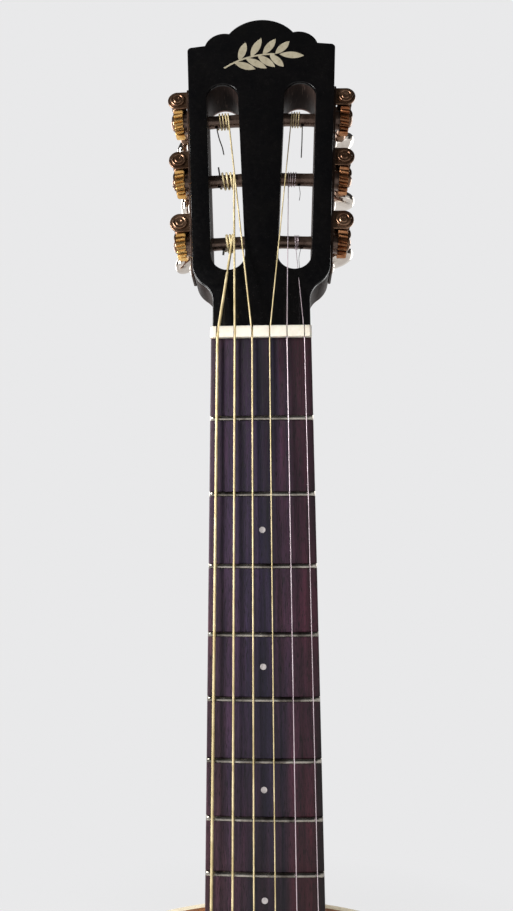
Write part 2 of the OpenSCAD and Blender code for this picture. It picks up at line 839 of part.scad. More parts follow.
module saddle() {
    color("ivory") difference() {
        intersection() {
            translate([0, 0, saddle_z]) rotate([0, -saddle_slant, 0])
                translate([-saddle_len / 2, face_y - 14, -saddle_t / 2])
                    cube([saddle_len, saddle_h, saddle_t]);
            translate([0, face_y - saddle_rest - 0.3 + board_r, saddle_z - 20])
                cylinder(r = board_r, h = 40, $fn = 256);
        }
        for (i = [0:5]) {
            rod(saddle_point(i) + [0, 0, -0.3], saddle_point(i) + 8 * unit(nut_point(i) - saddle_point(i)),
                gauges[i] + 0.03);
            rod(pin_top(i), saddle_point(i) + 0.3 * unit(saddle_point(i) - pin_top(i)), gauges[i] + 0.03);
        }
    }
}

module bridge_pins() {
    color("black") for (x = saddle_x) difference() {
        translate([x, face_y + pin_depth, pin_z]) rotate([90, 0, 0]) {
            cylinder(r1 = 2.1, r2 = pin_r, h = pin_depth + bridge_h);
            translate([0, 0, pin_depth + bridge_h + eps]) cylinder(r = pin_head_r, h = 1.2);
            translate([0, 0, pin_depth + bridge_h + 1]) rotate_extrude() intersection() {
                translate([0, -2.2]) circle(r = 4.3);
                square([5, 5]);
            }
            translate([0, 0, pin_depth + bridge_h - 0.1]) cylinder(r = 2.2, h = 1);
        }
        translate([x - 0.9, face_y - bridge_h - 1.5, pin_z + 1.5]) cube([1.8, 40, 5]);
    }
}

// ---------- Strings ----------

function crown_drop(x) = x * x / (2 * board_r);
function nut_point(i) =
    [nut_x[i], board_y - nut_rest + crown_drop(nut_x[i]) - gauges[i], nut_z + nut_front];
function saddle_point(i) =
    [saddle_x[i], face_y - saddle_rest + crown_drop(saddle_x[i]) - gauges[i], saddle_z];
function pin_top(i) = [saddle_x[i], face_y - bridge_h - gauges[i] - 0.1, pin_z + string_exit];
function pin_end(i) = [saddle_x[i], face_y + top_t + plate_under + 3 * eps, pin_z + string_exit];

// Rows of the headstock's axes in the model frame
function head_point(x, t, n) = [x,
    face_y + t * sin(head_angle) + n * cos(head_angle),
    nut_z + t * cos(head_angle) - n * sin(head_angle)];
function side_point(s, k, x, y, z) =
    let (t = post1_t + k * post_pitch * cos(side_angle))
        head_point(s * (head_hw(t) + x * cos(side_angle) + z * sin(side_angle)),
            t - x * sin(side_angle) + z * cos(side_angle), y);
function string_side(i) = i < 3 ? -1 : 1;
function coil_x(i) = -(head_hw(post1_t) - slot_x(post1_t) - slot_r) - coil_in[i];
// Where the string lands on the front of its post
function wrap_point(i) =
    side_point(string_side(i), post_of[i], coil_x(i), post_n - post_r - 0.1 - gauges[i], 0);

// Centre line of a string: up through the bridge, over saddle and nut, then round its post
coil_steps = 16;                     // points in one turn
coil_turns = [2.5, 3.5, 3.5, 3.5, 3.5, 3.5];
coil_start = 8;                      // angle at which the string meets the post
coil_gap = 0.12;
function coil_point(i, s) =
    let (r = post_r + coil_gap + gauges[i], a = coil_start + 360 * s / coil_steps)
        side_point(string_side(i), post_of[i], coil_x(i) + coil_pitch[i] * s / coil_steps,
            post_n - r * cos(a), r * sin(a));
function string_path(i) = concat(
    [pin_end(i), pin_top(i), saddle_point(i), nut_point(i)],
    [for (s = [0:coil_steps * coil_turns[i]]) coil_point(i, s)]);

// Octagon of radius r about p, square to the direction d
function string_loop(p, d, r) =
    let (u = unit(cross(d, [1, 0, 0])), v = cross(unit(d), u))
        [for (a = [22.5:45:360]) p + r * (u * cos(a) + v * sin(a))];

module string_sweep(i) {
    path = string_path(i);
    last = len(path) - 1;
    skin([for (k = [0:last])
        let (back = k == 0 ? [0, 0, 0] : unit(path[k] - path[k - 1]),
            on = k == last ? [0, 0, 0] : unit(path[k + 1] - path[k]))
            string_loop(path[k], back + on, k < 2 ? min(gauges[i], 0.5) : gauges[i])]);
}

module at_string_side(i) {
    if (string_side(i) > 0) at_post(post_of[i]) children();
    else mirror([1, 0, 0]) at_post(post_of[i]) children();
}

ball_r = 1.25;                       // ball end under the bridge plate
ball_len = 3.2;
module string_part(i) {
    color(i < 4 ? "darkgoldenrod" : "silver") {
        string_sweep(i);
        translate(pin_end(i) + [-ball_len / 2, ball_r + eps, 0]) rotate([0, 90, 0])
            cylinder(r = ball_r, h = ball_len, $fn = 32);
    }
}

// ---------- Tuners ----------

module ear(y) {
    translate([0, y, worm_z]) rotate([-90, 0, 0]) linear_extrude(ear_t) difference() {
        union() {
            translate([gear_mid, 0]) circle(ear_r);
            translate([plate_t / 2, -ear_r]) square([gear_mid - plate_t / 2, 2 * ear_r]);
        }
        translate([gear_mid, 0]) circle(2.05);
    }
}

// The plate lies on the headstock's side, with two bent ears for each worm
module tuner_plate() {
    at_post(0) difference() {
        union() {
            translate([eps, plate_y[0], plate_z[0]])
                cube([plate_t, plate_y[1] - plate_y[0], plate_z[1] - plate_z[0]]);
            for (k = [0:2])
                translate([0, 0, k * post_pitch]) for (y = ear_y) ear(y);
        }
        for (k = [0:2])
            translate([0, post_n, k * post_pitch]) rotate([0, 90, 0]) {
                translate([0, 0, -1]) cylinder(r = post_r + post_gap, h = 5);
                translate([0, 0, plate_t + 0.9]) cylinder(r = gear_pitch_r + gear_m + 0.35, h = 12);
            }
        for (z = screw_zs)
            translate([-1, post_n, z]) rotate([0, 90, 0]) cylinder(r = 1.6, h = 5);
    }
}

module plate_screw_holes(r) {
    at_post(0) for (z = screw_zs)
        translate([-8.2, post_n, z]) rotate([0, 90, 0]) cylinder(r = r, h = 10, $fn = 24);
}

module plate_screws() {
    color("silver") both_sides() at_post(0) for (z = screw_zs)
        translate([0, post_n, z]) rotate([0, 90, 0]) difference() {
            union() {
                translate([0, 0, -8]) cylinder(r = 1.2, h = 9.3, $fn = 24);
                translate([0, 0, plate_t + 2 * eps]) rotate_extrude($fn = 32) intersection() {
                    translate([0, -2.2]) circle(r = 3.5);
                    square([2.7, 3]);
                }
            }
            translate([-3, -0.3, plate_t + 0.8]) cube([6, 0.6, 2]);
        }
}

// Post, turning in the plate and in the headstock's centre web
module post(i) {
    k = post_of[i];
    color("gray") at_string_side(i) translate([0, post_n, 0]) rotate([0, 90, 0]) difference() {
        union() {
            translate([0, 0, -post_in(k)]) cylinder(r = post_r, h = post_in(k) + plate_t + 1);
            translate([0, 0, plate_t + 3 * eps]) cylinder(r = 4.5, h = gear_x[0] - plate_t - 5 * eps);
            translate([-1.8, -1.8, gear_x[0] - 1]) cube([3.6, 3.6, gear_x[1] - gear_x[0] + 0.8]);
        }
        translate([0, 0, coil_x(i) + coil_pitch[i] * coil_turns[i] + 1.2]) rotate([0, 90, 0])
            cylinder(r = 0.95, h = 20, center = true, $fn = 24);
    }
}

// Involute flank of the gear, in degrees from the tooth's centre at radius r
gear_base_r = gear_pitch_r * cos(gear_pressure);
function inv_deg(a) = tan(a) * 180 / PI - a;
tooth_half = (PI * gear_m / 2 - 0.16) / 2 / gear_pitch_r * 180 / PI;
function flank(r) = tooth_half + inv_deg(gear_pressure)
    - (r > gear_base_r ? inv_deg(acos(gear_base_r / r)) : 0);
gear_tip_r = gear_pitch_r + gear_m;
gear_root_r = gear_pitch_r - 1.22 * gear_m;
flank_rs = [gear_root_r, gear_base_r, (gear_base_r + gear_tip_r) / 2, gear_tip_r];
tooth_step = 360 / gear_teeth;
// One slice of the gear as points, starting half a tooth from the worm so that a gap faces it
function polar(r, a) = r * [cos(a), sin(a)];
gear_loop = [for (j = [0:gear_teeth - 1]) let (a = (j + 0.5) * tooth_step) each concat(
    [for (r = flank_rs) polar(r, a - flank(r))],
    [for (r = reversed(flank_rs)) polar(r, a + flank(r))])];

// Teeth lean by the worm's lead; the gear's own axis is +x and angle 0 points at the worm (+z)
lead = PI * gear_m;
lean = lead / (2 * PI * worm_pitch_r) / gear_pitch_r * 180 / PI;
function lean_loop(x) = let (a = lean * (x - gear_mid))
    [for (p = gear_loop) [x, -(p[0] * sin(a) + p[1] * cos(a)), p[0] * cos(a) - p[1] * sin(a)]];

// The square hole as one point for each point of the rim, its corners on every quarter
hole_half = 1.84;
side_points = 2 * gear_teeth;
hole_shift = round((45 + bearing(gear_loop[0])) / 360 * 4 * side_points);
function hole_point(q) =
    let (u = 2 * (q % side_points) / side_points - 1, a = 90 * floor(q / side_points))
        hole_half * [cos(a) - u * sin(a), sin(a) + u * cos(a)];
function hole_loop(x) = [for (q = [0:4 * side_points - 1])
    let (p = hole_point((q + hole_shift) % (4 * side_points))) [x, -p[1], p[0]]];

module gear(i) {
    color("goldenrod") at_string_side(i) translate([0, post_n, 0]) {
        skin([hole_loop(gear_x[0]), lean_loop(gear_x[0]), lean_loop(gear_mid), lean_loop(gear_x[1]),
            hole_loop(gear_x[1])], closed = true);
        translate([gear_x[1] + eps, 0, 0]) rotate([0, 90, 0]) difference() {
            rotate_extrude($fn = 32) intersection() {
                translate([0, -1.4]) circle(r = 3.6);
                square([2.7, 3]);
            }
            translate([-4, -0.35, 1.2]) cube([8, 0.7, 3]);
        }
    }
}

// Single-start thread as a swept trapezoid; its crest faces the gear gap at mid width
worm_root_r = worm_pitch_r - 1.2 * gear_m;
worm_tip_r = worm_pitch_r + gear_m;
thread_half = (lead / 2 - 0.24) / 2;
function thread_w(r) = thread_half - (r - worm_pitch_r) * tan(gear_pressure);
thread_steps = 14;
thread_turns = 2.5;
module thread_solid() {
    n = thread_steps * thread_turns;
    prof = [[worm_root_r - 0.3, -thread_w(worm_root_r)], [worm_tip_r, -thread_w(worm_tip_r)],
        [worm_tip_r, thread_w(worm_tip_r)], [worm_root_r - 0.3, thread_w(worm_root_r)]];
    // angle a is measured about +y, from the direction that faces the gear (-z)
    pts = [for (s = [0:n]) let (a = (s - n / 2) * 360 / thread_steps) for (p = prof)
        [-p[0] * sin(a), p[1] + lead * a / 360, -p[0] * cos(a)]];
    walls = [for (s = [0:n - 1]) for (q = [0:3]) let (u = s * 4 + q, v = s * 4 + (q + 1) % 4)
        each [[u, v, v + 4], [u, v + 4, u + 4]]];
    polyhedron(pts, concat(walls, [[3, 2, 1, 0], [n * 4, n * 4 + 1, n * 4 + 2, n * 4 + 3]]));
}

module worm(i) {
    color("silver") at_string_side(i) translate([gear_mid, 0, worm_z]) {
        translate([0, post_n, 0]) thread_solid();
        rotate([-90, 0, 0]) {
            translate([0, 0, ear_y[0] - 0.3]) cylinder(r = 2, h = key_y[1] - ear_y[0] - 3);
            // domed end in front of the front ear
            translate([0, 0, ear_y[0] - 1.1]) cylinder(r = 3.7, h = 1.06);
            // collar behind the back ear, then the stalk
            translate([0, 0, ear_y[1] + ear_t + 0.05]) cylinder(r = 3.4, h = 2.2);
            translate([0, 0, ear_y[1] + ear_t + 2]) cylinder(r1 = 3.2, r2 = 2.4, h = 8);
            translate([0, 0, key_y[0] - 3.2]) cylinder(r = 3, h = 3.2 - eps);
        }
    }
}

key_turn = [34, 82, 60, -30, 8, -22];     // how far each button has been left turned
module button(i) {
    color("silver") at_string_side(i) translate([gear_mid, 0, worm_z]) rotate([0, key_turn[i], 0])
        difference() {
            translate([0, (key_y[0] + key_y[1]) / 2, -3.7]) linear_extrude(7.4) {
                for (s = [-1, 1]) translate([s * 2.4, 0]) circle(6.5);
                square([4.8, 13], center = true);
            }
            rotate([-90, 0, 0]) translate([0, 0, key_y[0] - 1]) cylinder(r = 2 + eps, h = 11.2);
        }
}

// ---------- Nodes ----------

soundboard();
back_plate();
sides();
bindings();
linings();
neck_block();
tail_block();
x_braces();
top_braces();
bridge_plate();
back_braces();
rosette();
heel_cap();
strap_button();
neck();
headplate();
headstock_inlay();
fretboard();
frets();
position_dots();
nut();
truss_rod();
truss_rod_nut();
neck_bolts();
bridge();
saddle();
bridge_pins();
color("silver") mirror([1, 0, 0]) tuner_plate();  // tuner_plate_bass
color("silver") tuner_plate();  // tuner_plate_treble
plate_screws();
for (i = [0:5]) {
    string_part(i);
    post(i);
    gear(i);
    worm(i);
    button(i);
}
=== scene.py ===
"""Looks of a twelve-fret parlour guitar with a slotted headstock."""
import json
import math

import bpy
import bmesh
import numpy as np
from mathutils import Matrix, Vector
from mathutils.geometry import tessellate_polygon


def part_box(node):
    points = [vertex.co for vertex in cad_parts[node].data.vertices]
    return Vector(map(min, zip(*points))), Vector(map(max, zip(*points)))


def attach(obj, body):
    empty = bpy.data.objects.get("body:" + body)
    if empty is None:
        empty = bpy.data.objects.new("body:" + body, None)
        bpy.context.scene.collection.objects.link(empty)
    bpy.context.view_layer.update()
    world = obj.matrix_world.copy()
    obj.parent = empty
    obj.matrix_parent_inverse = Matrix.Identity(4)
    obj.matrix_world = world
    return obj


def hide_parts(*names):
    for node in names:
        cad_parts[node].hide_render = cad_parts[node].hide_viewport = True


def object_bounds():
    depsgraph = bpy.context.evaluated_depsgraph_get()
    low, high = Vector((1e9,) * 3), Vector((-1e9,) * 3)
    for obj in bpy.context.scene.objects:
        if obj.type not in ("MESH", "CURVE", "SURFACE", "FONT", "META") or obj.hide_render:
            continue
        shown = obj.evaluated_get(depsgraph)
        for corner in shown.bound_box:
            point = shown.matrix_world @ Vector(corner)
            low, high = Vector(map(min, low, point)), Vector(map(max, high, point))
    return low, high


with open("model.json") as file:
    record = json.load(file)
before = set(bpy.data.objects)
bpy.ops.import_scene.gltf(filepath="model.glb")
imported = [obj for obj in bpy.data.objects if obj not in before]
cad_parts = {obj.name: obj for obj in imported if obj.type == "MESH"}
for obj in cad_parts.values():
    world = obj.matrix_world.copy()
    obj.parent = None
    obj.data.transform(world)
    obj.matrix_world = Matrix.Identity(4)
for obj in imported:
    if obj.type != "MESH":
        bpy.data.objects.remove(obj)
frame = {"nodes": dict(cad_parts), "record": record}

cad_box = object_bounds()
for imported in list(bpy.data.materials):
    bpy.data.materials.remove(imported)

# ---------- Sizes, in millimetres ----------

MM = 0.001


def box_mm(node):
    low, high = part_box(node)
    return low / MM, high / MM


FACE_Y = box_mm("soundboard")[0].y          # front face of the soundboard
BODY_LEN = box_mm("bindings")[1].z
NUT_Z = box_mm("nut")[0].z - 0.02
BOARD_END_Z = box_mm("fretboard")[0].z
SCALE = 2 * (NUT_Z - BODY_LEN)
BOARD_T = 6.2
BOARD_Y = FACE_Y - BOARD_T
BOARD_R = 406.4
NUT_W = 44.45
JOINT_W = 54.2
FRET_COUNT = 18
LOWER_HW, WAIST_HW, UPPER_HW = 176, 112, 127.5
LOWER_R, UPPER_R, TAIL_R, TOP_R = 125, 85, 300, 270
DEPTH_TAIL, DEPTH_NECK, BACK_R = 106, 99, 3000
SIDE_T, TOP_T, BACK_T, BIND_H = 2.2, 2.8, 2.6, 4
HOLE_R = 47
HOLE_Z = BOARD_END_Z - 1 - HOLE_R
BRIDGE_H = 8.6
SADDLE_Z = NUT_Z - SCALE - 1.6
PIN_Z = SADDLE_Z - 13
STRING_EXIT = 3.6

HEAD_TILT = math.radians(12)
HEAD_T = 19
VENEER_T = 1.6
STEM_HW = 22.3
FLARE_HW, FLARE_T = 32.1, 38.5
SIDE_SLOPE = 0.0464
SIDE_ANGLE = math.atan(SIDE_SLOPE)
SHOULDER_T = 162.8
SLOT_R, SLOT_SLOPE = 7.95, 0.0445
SLOT_X, SLOT_T0, SLOT_T1 = 15.6, 43.8, 131.6
POST1_T, POST_PITCH, POST_N, POST_R = 54.4, 35, 9.5, 3.05

PLATE_T = 1.2
PLATE_Y = (2.4, 16.6)
PLATE_Z = (-19, 86)
GEAR_X = (3.7, 8.1)
GEAR_MID = sum(GEAR_X) / 2
GEAR_TEETH, GEAR_M = 14, 0.86
GEAR_PITCH_R = GEAR_TEETH * GEAR_M / 2
WORM_PITCH_R = 2.85
WORM_Z = WORM_PITCH_R + GEAR_PITCH_R
EAR_R, EAR_T = 5, 1
EAR_Y = (2.9, 15.1)
KEY_Y = (31, 44)
KEY_TURN = [34, 82, 60, -30, 8, -22]
PRESSURE = math.radians(25)

SIDE_NAMES = ["6_low_e", "5_a", "4_d", "3_g", "2_b", "1_high_e"]
GAUGES = [0.66, 0.52, 0.40, 0.29, 0.20, 0.15]
POST_OF = [0, 1, 2, 2, 1, 0]
COIL_IN = [10.2, 12.1, 10.4, 11.9, 12.4, 8.1]
COIL_PITCH = [1.4, 1.85, 1.45, 1.25, 1.2, 0.6]
COIL_TURNS = [2.5, 3.5, 3.5, 3.5, 3.5, 3.5]


def fret_z(n):
    return NUT_Z - SCALE * (1 - 2 ** (-n / 12))


def neck_w(z):
    return NUT_W + (JOINT_W - NUT_W) * (NUT_Z - z) / (NUT_Z - BODY_LEN)


def head_hw(t):
    return FLARE_HW + SIDE_SLOPE * (t - FLARE_T)


def slot_x(t):
    return SLOT_X + SLOT_SLOPE * (t - SLOT_T0)


def crown_drop(x):
    return x * x / (2 * BOARD_R)


# ---------- Frames: local axes as matrices ----------

def axes(x, y, z, origin=(0, 0, 0)):
    m = Matrix.Identity(4)
    for column, v in enumerate((x, y, z, origin)):
        for row in range(3):
            m[row][column] = v[row]
    return m


SIN_T, COS_T = math.sin(HEAD_TILT), math.cos(HEAD_TILT)
PLAN = axes((1, 0, 0), (0, 0, 1), (0, -1, 0), (0, FACE_Y, 0))
HEAD = axes((1, 0, 0), (0, SIN_T, COS_T), (0, -COS_T, SIN_T), (0, FACE_Y, NUT_Z))
Z_TO_X = axes((0, 1, 0), (0, 0, 1), (1, 0, 0))
Z_TO_Y = axes((0, 0, 1), (1, 0, 0), (0, 1, 0))
Z_TO_FRONT = axes((1, 0, 0), (0, 0, 1), (0, -1, 0))
Z_TO_BACK = axes((1, 0, 0), (0, 0, 1), (0, 1, 0))      # the mirror image of Z_TO_FRONT


def head_vector(x, t, n):
    return Vector((x, t * SIN_T + n * COS_T, t * COS_T - n * SIN_T))


def head_point(x, t, n):
    return Vector((0, FACE_Y, NUT_Z)) + head_vector(x, t, n)


def side_frame(side, k):
    """Axes on the headstock's side at post k: x out, y back, z up the side."""
    t = POST1_T + k * POST_PITCH * math.cos(SIDE_ANGLE)
    c, s = math.cos(SIDE_ANGLE), math.sin(SIDE_ANGLE)
    return axes(head_vector(side * c, -s, 0), head_vector(0, 0, 1), head_vector(side * s, c, 0),
                head_point(side * head_hw(t), t, 0))


def string_side(i):
    return -1 if i < 3 else 1


def tuner_frame(i):
    return side_frame(string_side(i), POST_OF[i])


def shift(x=0, y=0, z=0):
    return Matrix.Translation((x, y, z))


# ---------- Shapes: vertices in millimetres, and faces ----------

class Shape:
    def __init__(self, verts=(), faces=()):
        self.verts = np.array(verts, float).reshape(-1, 3)
        self.faces = [tuple(int(i) for i in f) for f in faces]

    def at(self, matrix):
        m = np.array(matrix, float)
        faces = self.faces
        if np.linalg.det(m[:3, :3]) < 0:
            faces = [f[::-1] for f in faces]
        return Shape(self.verts @ m[:3, :3].T + m[:3, 3], faces)

    def __add__(self, other):
        k = len(self.verts)
        return Shape(np.vstack([self.verts, other.verts]),
                     self.faces + [tuple(i + k for i in f) for f in other.faces])


def joined(shapes):
    total = Shape()
    for shape in shapes:
        total = total + shape
    return total


def loft(loops, caps=True, closed=False):
    """Skin over loops with the same number of points."""
    n, m = len(loops[0]), len(loops)
    faces = []
    for s in range(m if closed else m - 1):
        a, b = s * n, (s + 1) % m * n
        faces += [(a + i, a + (i + 1) % n, b + (i + 1) % n, b + i) for i in range(n)]
    if caps and not closed:
        faces += [tuple(range(n))[::-1], tuple(range((m - 1) * n, m * n))]
    return Shape(np.vstack(loops), faces)


def circle_loop(r, z, n):
    a = np.linspace(0, 2 * math.pi, n, endpoint=False)
    return np.c_[r * np.cos(a), r * np.sin(a), np.full(n, z)]


def lathe(profile, n=48):
    """Turns (height, radius) points about z."""
    return loft([circle_loop(max(r, 0.004), z, n) for z, r in profile])


def stepped(stations, n):
    """Turns groups of (rise, radius) points, each group counted from its own height."""
    return lathe([(height + rise, r) for height, group in stations for rise, r in group], n)


def rounded(points, radius):
    """Eases the corners of a line of points; radius is one value, or a list with one for each point."""
    points = [np.array(p, float) for p in points]
    radii = radius if isinstance(radius, list) else [radius] * len(points)
    out = [points[0]]
    for a, p, b, r in zip(points, points[1:], points[2:], radii[1:]):
        len_a, len_b = np.linalg.norm(a - p), np.linalg.norm(b - p)
        d = min(r, 0.48 * len_a, 0.48 * len_b)
        start, end = p + (a - p) / len_a * d, p + (b - p) / len_b * d
        out += [(1 - u) ** 2 * start + 2 * u * (1 - u) * p + u * u * end for u in np.linspace(0, 1, 5)]
    return out + [points[-1]]


def resampled(points, step):
    """Points at even distances along a line."""
    points = np.array(points, float)
    lengths = np.r_[0, np.cumsum(np.linalg.norm(np.diff(points, axis=0), axis=1))]
    marks = np.linspace(0, lengths[-1], max(2, int(round(lengths[-1] / step)) + 1))
    return np.c_[[np.interp(marks, lengths, points[:, k]) for k in range(points.shape[1])]].T


def tube(path, radius, sides=10):
    """Round wire along a path; radius is one value or one for each point."""
    path = np.array(path, float)
    radii = np.broadcast_to(np.array(radius, float), (len(path),))
    tangents = np.gradient(path, axis=0)
    tangents /= np.linalg.norm(tangents, axis=1)[:, None]
    u = np.cross(tangents[0], (1, 0, 0) if abs(tangents[0][0]) < 0.9 else (0, 1, 0))
    a = np.linspace(0, 2 * math.pi, sides, endpoint=False)
    loops = []
    for p, t, r in zip(path, tangents, radii):
        u = u - t * (u @ t)
        u /= np.linalg.norm(u)
        v = np.cross(t, u)
        loops.append(p + r * (np.cos(a)[:, None] * u + np.sin(a)[:, None] * v))
    return loft(loops)


def arc(cx, cy, r, a0, a1, n):
    """Points on an arc, angles in degrees."""
    a = np.radians(np.linspace(a0, a1, n + 1))
    return [np.array((cx + r * math.cos(t), cy + r * math.sin(t))) for t in a]


def tidy_loop(points):
    """Drops points that repeat the one before."""
    out = []
    for p in points:
        if not out or np.linalg.norm(p - out[-1]) > 1e-4:
            out.append(np.array(p, float))
    if np.linalg.norm(out[0] - out[-1]) < 1e-4:
        out.pop()
    return np.array(out)


def circle_hole(x, y, r, n):
    return tidy_loop(arc(x, y, r, 360, 0, n))


def both_halves(half):
    """Closed outline from its right half, which runs from the bottom to the top."""
    return tidy_loop(list(half) + [np.array((-p[0], p[1])) for p in reversed(half)])


def inset(loop, d):
    """Moves a loop by d towards the material on its left."""
    before, after = np.roll(loop, 1, 0), np.roll(loop, -1, 0)
    e0, e1 = loop - before, after - loop
    e0 = e0 / np.linalg.norm(e0, axis=1)[:, None]
    e1 = e1 / np.linalg.norm(e1, axis=1)[:, None]
    n0, n1 = np.c_[-e0[:, 1], e0[:, 0]], np.c_[-e1[:, 1], e1[:, 0]]
    spread = np.maximum(1 + (n0 * n1).sum(1), 0.4)[:, None]
    return loop + d * (n0 + n1) / spread


def slab(loops, back, front, bevel=0.3, steps=3):
    """Plate with eased edges between two heights of local z. The first loop runs counter-clockwise
    and holes run clockwise. bevel is one value, or (front, back) for each loop."""
    if not isinstance(bevel, list):
        bevel = [(bevel, bevel)] * len(loops)
    quarter = np.linspace(0, math.pi / 2, steps + 1)
    shape = Shape()
    tops, bottoms, flat = [], [], []
    for loop, (b_front, b_back) in zip(loops, bevel):
        levels = [(b_back * (1 - math.sin(a)), back + b_back * (1 - math.cos(a))) for a in quarter]
        levels += [(b_front * (1 - math.cos(a)), front - b_front * (1 - math.sin(a))) for a in quarter]
        rings = [np.c_[inset(loop, d), np.full(len(loop), z)] for d, z in levels]
        start = len(shape.verts)
        shape = shape + loft(rings, caps=False)
        bottoms += list(range(start, start + len(loop)))
        tops += list(range(len(shape.verts) - len(loop), len(shape.verts)))
        flat.append([Vector((p[0], p[1], 0)) for p in inset(loop, b_front)])
    points = [p for loop in flat for p in loop]
    for tri in tessellate_polygon(flat):
        a, b, c = (points[i] for i in tri)
        if (b - a).cross(c - a).z < 0:
            tri = tri[::-1]
        shape.faces.append(tuple(tops[i] for i in tri))
        shape.faces.append(tuple(bottoms[i] for i in reversed(tri)))
    return shape


# ---------- From shapes to pieces ----------

scene = bpy.context.scene


def bare_object(name, shape, scale=1.0):
    mesh = bpy.data.meshes.new(name)
    mesh.from_pydata([tuple(v) for v in shape.verts * scale], [], shape.faces)
    obj = bpy.data.objects.new(name, mesh)
    scene.collection.objects.link(obj)
    return obj


def combined(shape, other, operation="DIFFERENCE"):
    """Exact boolean of two closed shapes."""
    a, b = bare_object("work_a", shape), bare_object("work_b", other)
    modifier = a.modifiers.new("boolean", "BOOLEAN")
    modifier.operation = operation
    modifier.solver = "EXACT"
    modifier.object = b
    mesh = bpy.data.meshes.new_from_object(a.evaluated_get(bpy.context.evaluated_depsgraph_get()))
    result = Shape([v.co for v in mesh.vertices], [tuple(p.vertices) for p in mesh.polygons])
    for obj in (a, b):
        bpy.data.objects.remove(obj)
    return result


def piece(name, shape, finish, body="instrument", nodes=(), crease=35):
    """A finished object: vertices in metres, smooth but for its creases, riding on its body."""
    obj = bare_object(name, shape, MM)
    mesh = obj.data
    work = bmesh.new()
    work.from_mesh(mesh)
    bmesh.ops.remove_doubles(work, verts=work.verts, dist=1e-7)
    bmesh.ops.recalc_face_normals(work, faces=work.faces)
    work.to_mesh(mesh)
    work.free()
    mesh.shade_smooth()
    mesh.set_sharp_from_angle(angle=math.radians(crease))
    mesh.materials.append(FINISHES[finish])
    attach(obj, body)
    if nodes:
        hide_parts(*nodes)
    return obj


# ---------- Finishes ----------

def tone(red, green, blue):
    """Colour from display values 0 to 255."""
    return tuple((c / 255 / 12.92 if c <= 10 else ((c / 255 + 0.055) / 1.055) ** 2.4)
                 for c in (red, green, blue)) + (1.0,)


class Nodes:
    """Short ways to lay out a tree of nodes over a set of coordinates."""

    def __init__(self, tree, place):
        self.tree = tree
        self.place = self.node("ShaderNodeTexCoord").outputs[place]

    def node(self, kind, inputs=None, **settings):
        made = self.tree.nodes.new(kind)
        for key, value in settings.items():
            setattr(made, key, value)
        for key, value in (inputs or {}).items():
            self.feed(made.inputs[key], value)
        return made

    def feed(self, socket, value):
        if isinstance(value, bpy.types.NodeSocket):
            self.tree.links.new(value, socket)
        else:
            socket.default_value = value

    def along(self, axis):
        return self.node("ShaderNodeSeparateXYZ", {"Vector": self.place}).outputs[axis]

    def noise(self, scale, detail=4, roughness=0.6, distortion=0.0, offset=(0, 0, 0)):
        """Soft noise, its scale in cycles per metre along x, y and z."""
        spread = self.node("ShaderNodeMapping", {"Vector": self.place, "Scale": scale, "Location": offset})
        made = self.node("ShaderNodeTexNoise", {"Vector": spread.outputs["Vector"], "Scale": 1,
                                                "Detail": detail, "Roughness": roughness,
                                                "Distortion": distortion})
        return made.outputs["Fac"]

    def ramp(self, value, *stops):
        """Colours or greys blended between (position, colour) stops."""
        made = self.node("ShaderNodeValToRGB", {"Fac": value})
        line = made.color_ramp
        while len(line.elements) < len(stops):
            line.elements.new(0.5)
        for element, (position, colour) in zip(line.elements, stops):
            element.position = position
            element.color = colour if isinstance(colour, tuple) else (colour, colour, colour, 1)
        return made.outputs["Color"]

    def mix(self, amount, a, b, blend="MIX"):
        made = self.node("ShaderNodeMix", {"Factor": amount}, data_type="RGBA", blend_type=blend)
        for socket, value in zip([s for s in made.inputs if s.type == "RGBA"], (a, b)):
            self.feed(socket, value)
        return [s for s in made.outputs if s.type == "RGBA"][0]

    def calc(self, operation, a, b):
        return self.node("ShaderNodeMath", {0: a, 1: b}, operation=operation).outputs["Value"]

    def bump(self, height, depth_mm, strength):
        made = self.node("ShaderNodeBump", {"Height": height, "Distance": depth_mm * MM,
                                            "Strength": strength})
        return made.outputs["Normal"]


class Finish(Nodes):
    """A material, given by name or already made, over the object's own metres."""

    SOCKETS = {"colour": "Base Color", "metal": "Metallic", "rough": "Roughness", "normal": "Normal",
               "coat": "Coat Weight", "coat_rough": "Coat Roughness", "specular": "Specular IOR Level",
               "subsurface": "Subsurface Weight"}

    def __init__(self, material):
        if isinstance(material, str):
            material = bpy.data.materials.new(material)
            material.use_nodes = True
        super().__init__(material.node_tree, "Object")
        self.material = material
        self.shader = self.tree.nodes["Principled BSDF"]

    def set(self, **values):
        for key, value in values.items():
            self.feed(self.shader.inputs[self.SOCKETS[key]], value)
        return self.material

    def lay(self, key, amount, value, blend="MIX"):
        """Lays a value over what already feeds one of the shader's sockets."""
        socket = self.shader.inputs[self.SOCKETS[key]]
        self.feed(socket, self.mix(amount, socket.links[0].from_socket, value, blend))


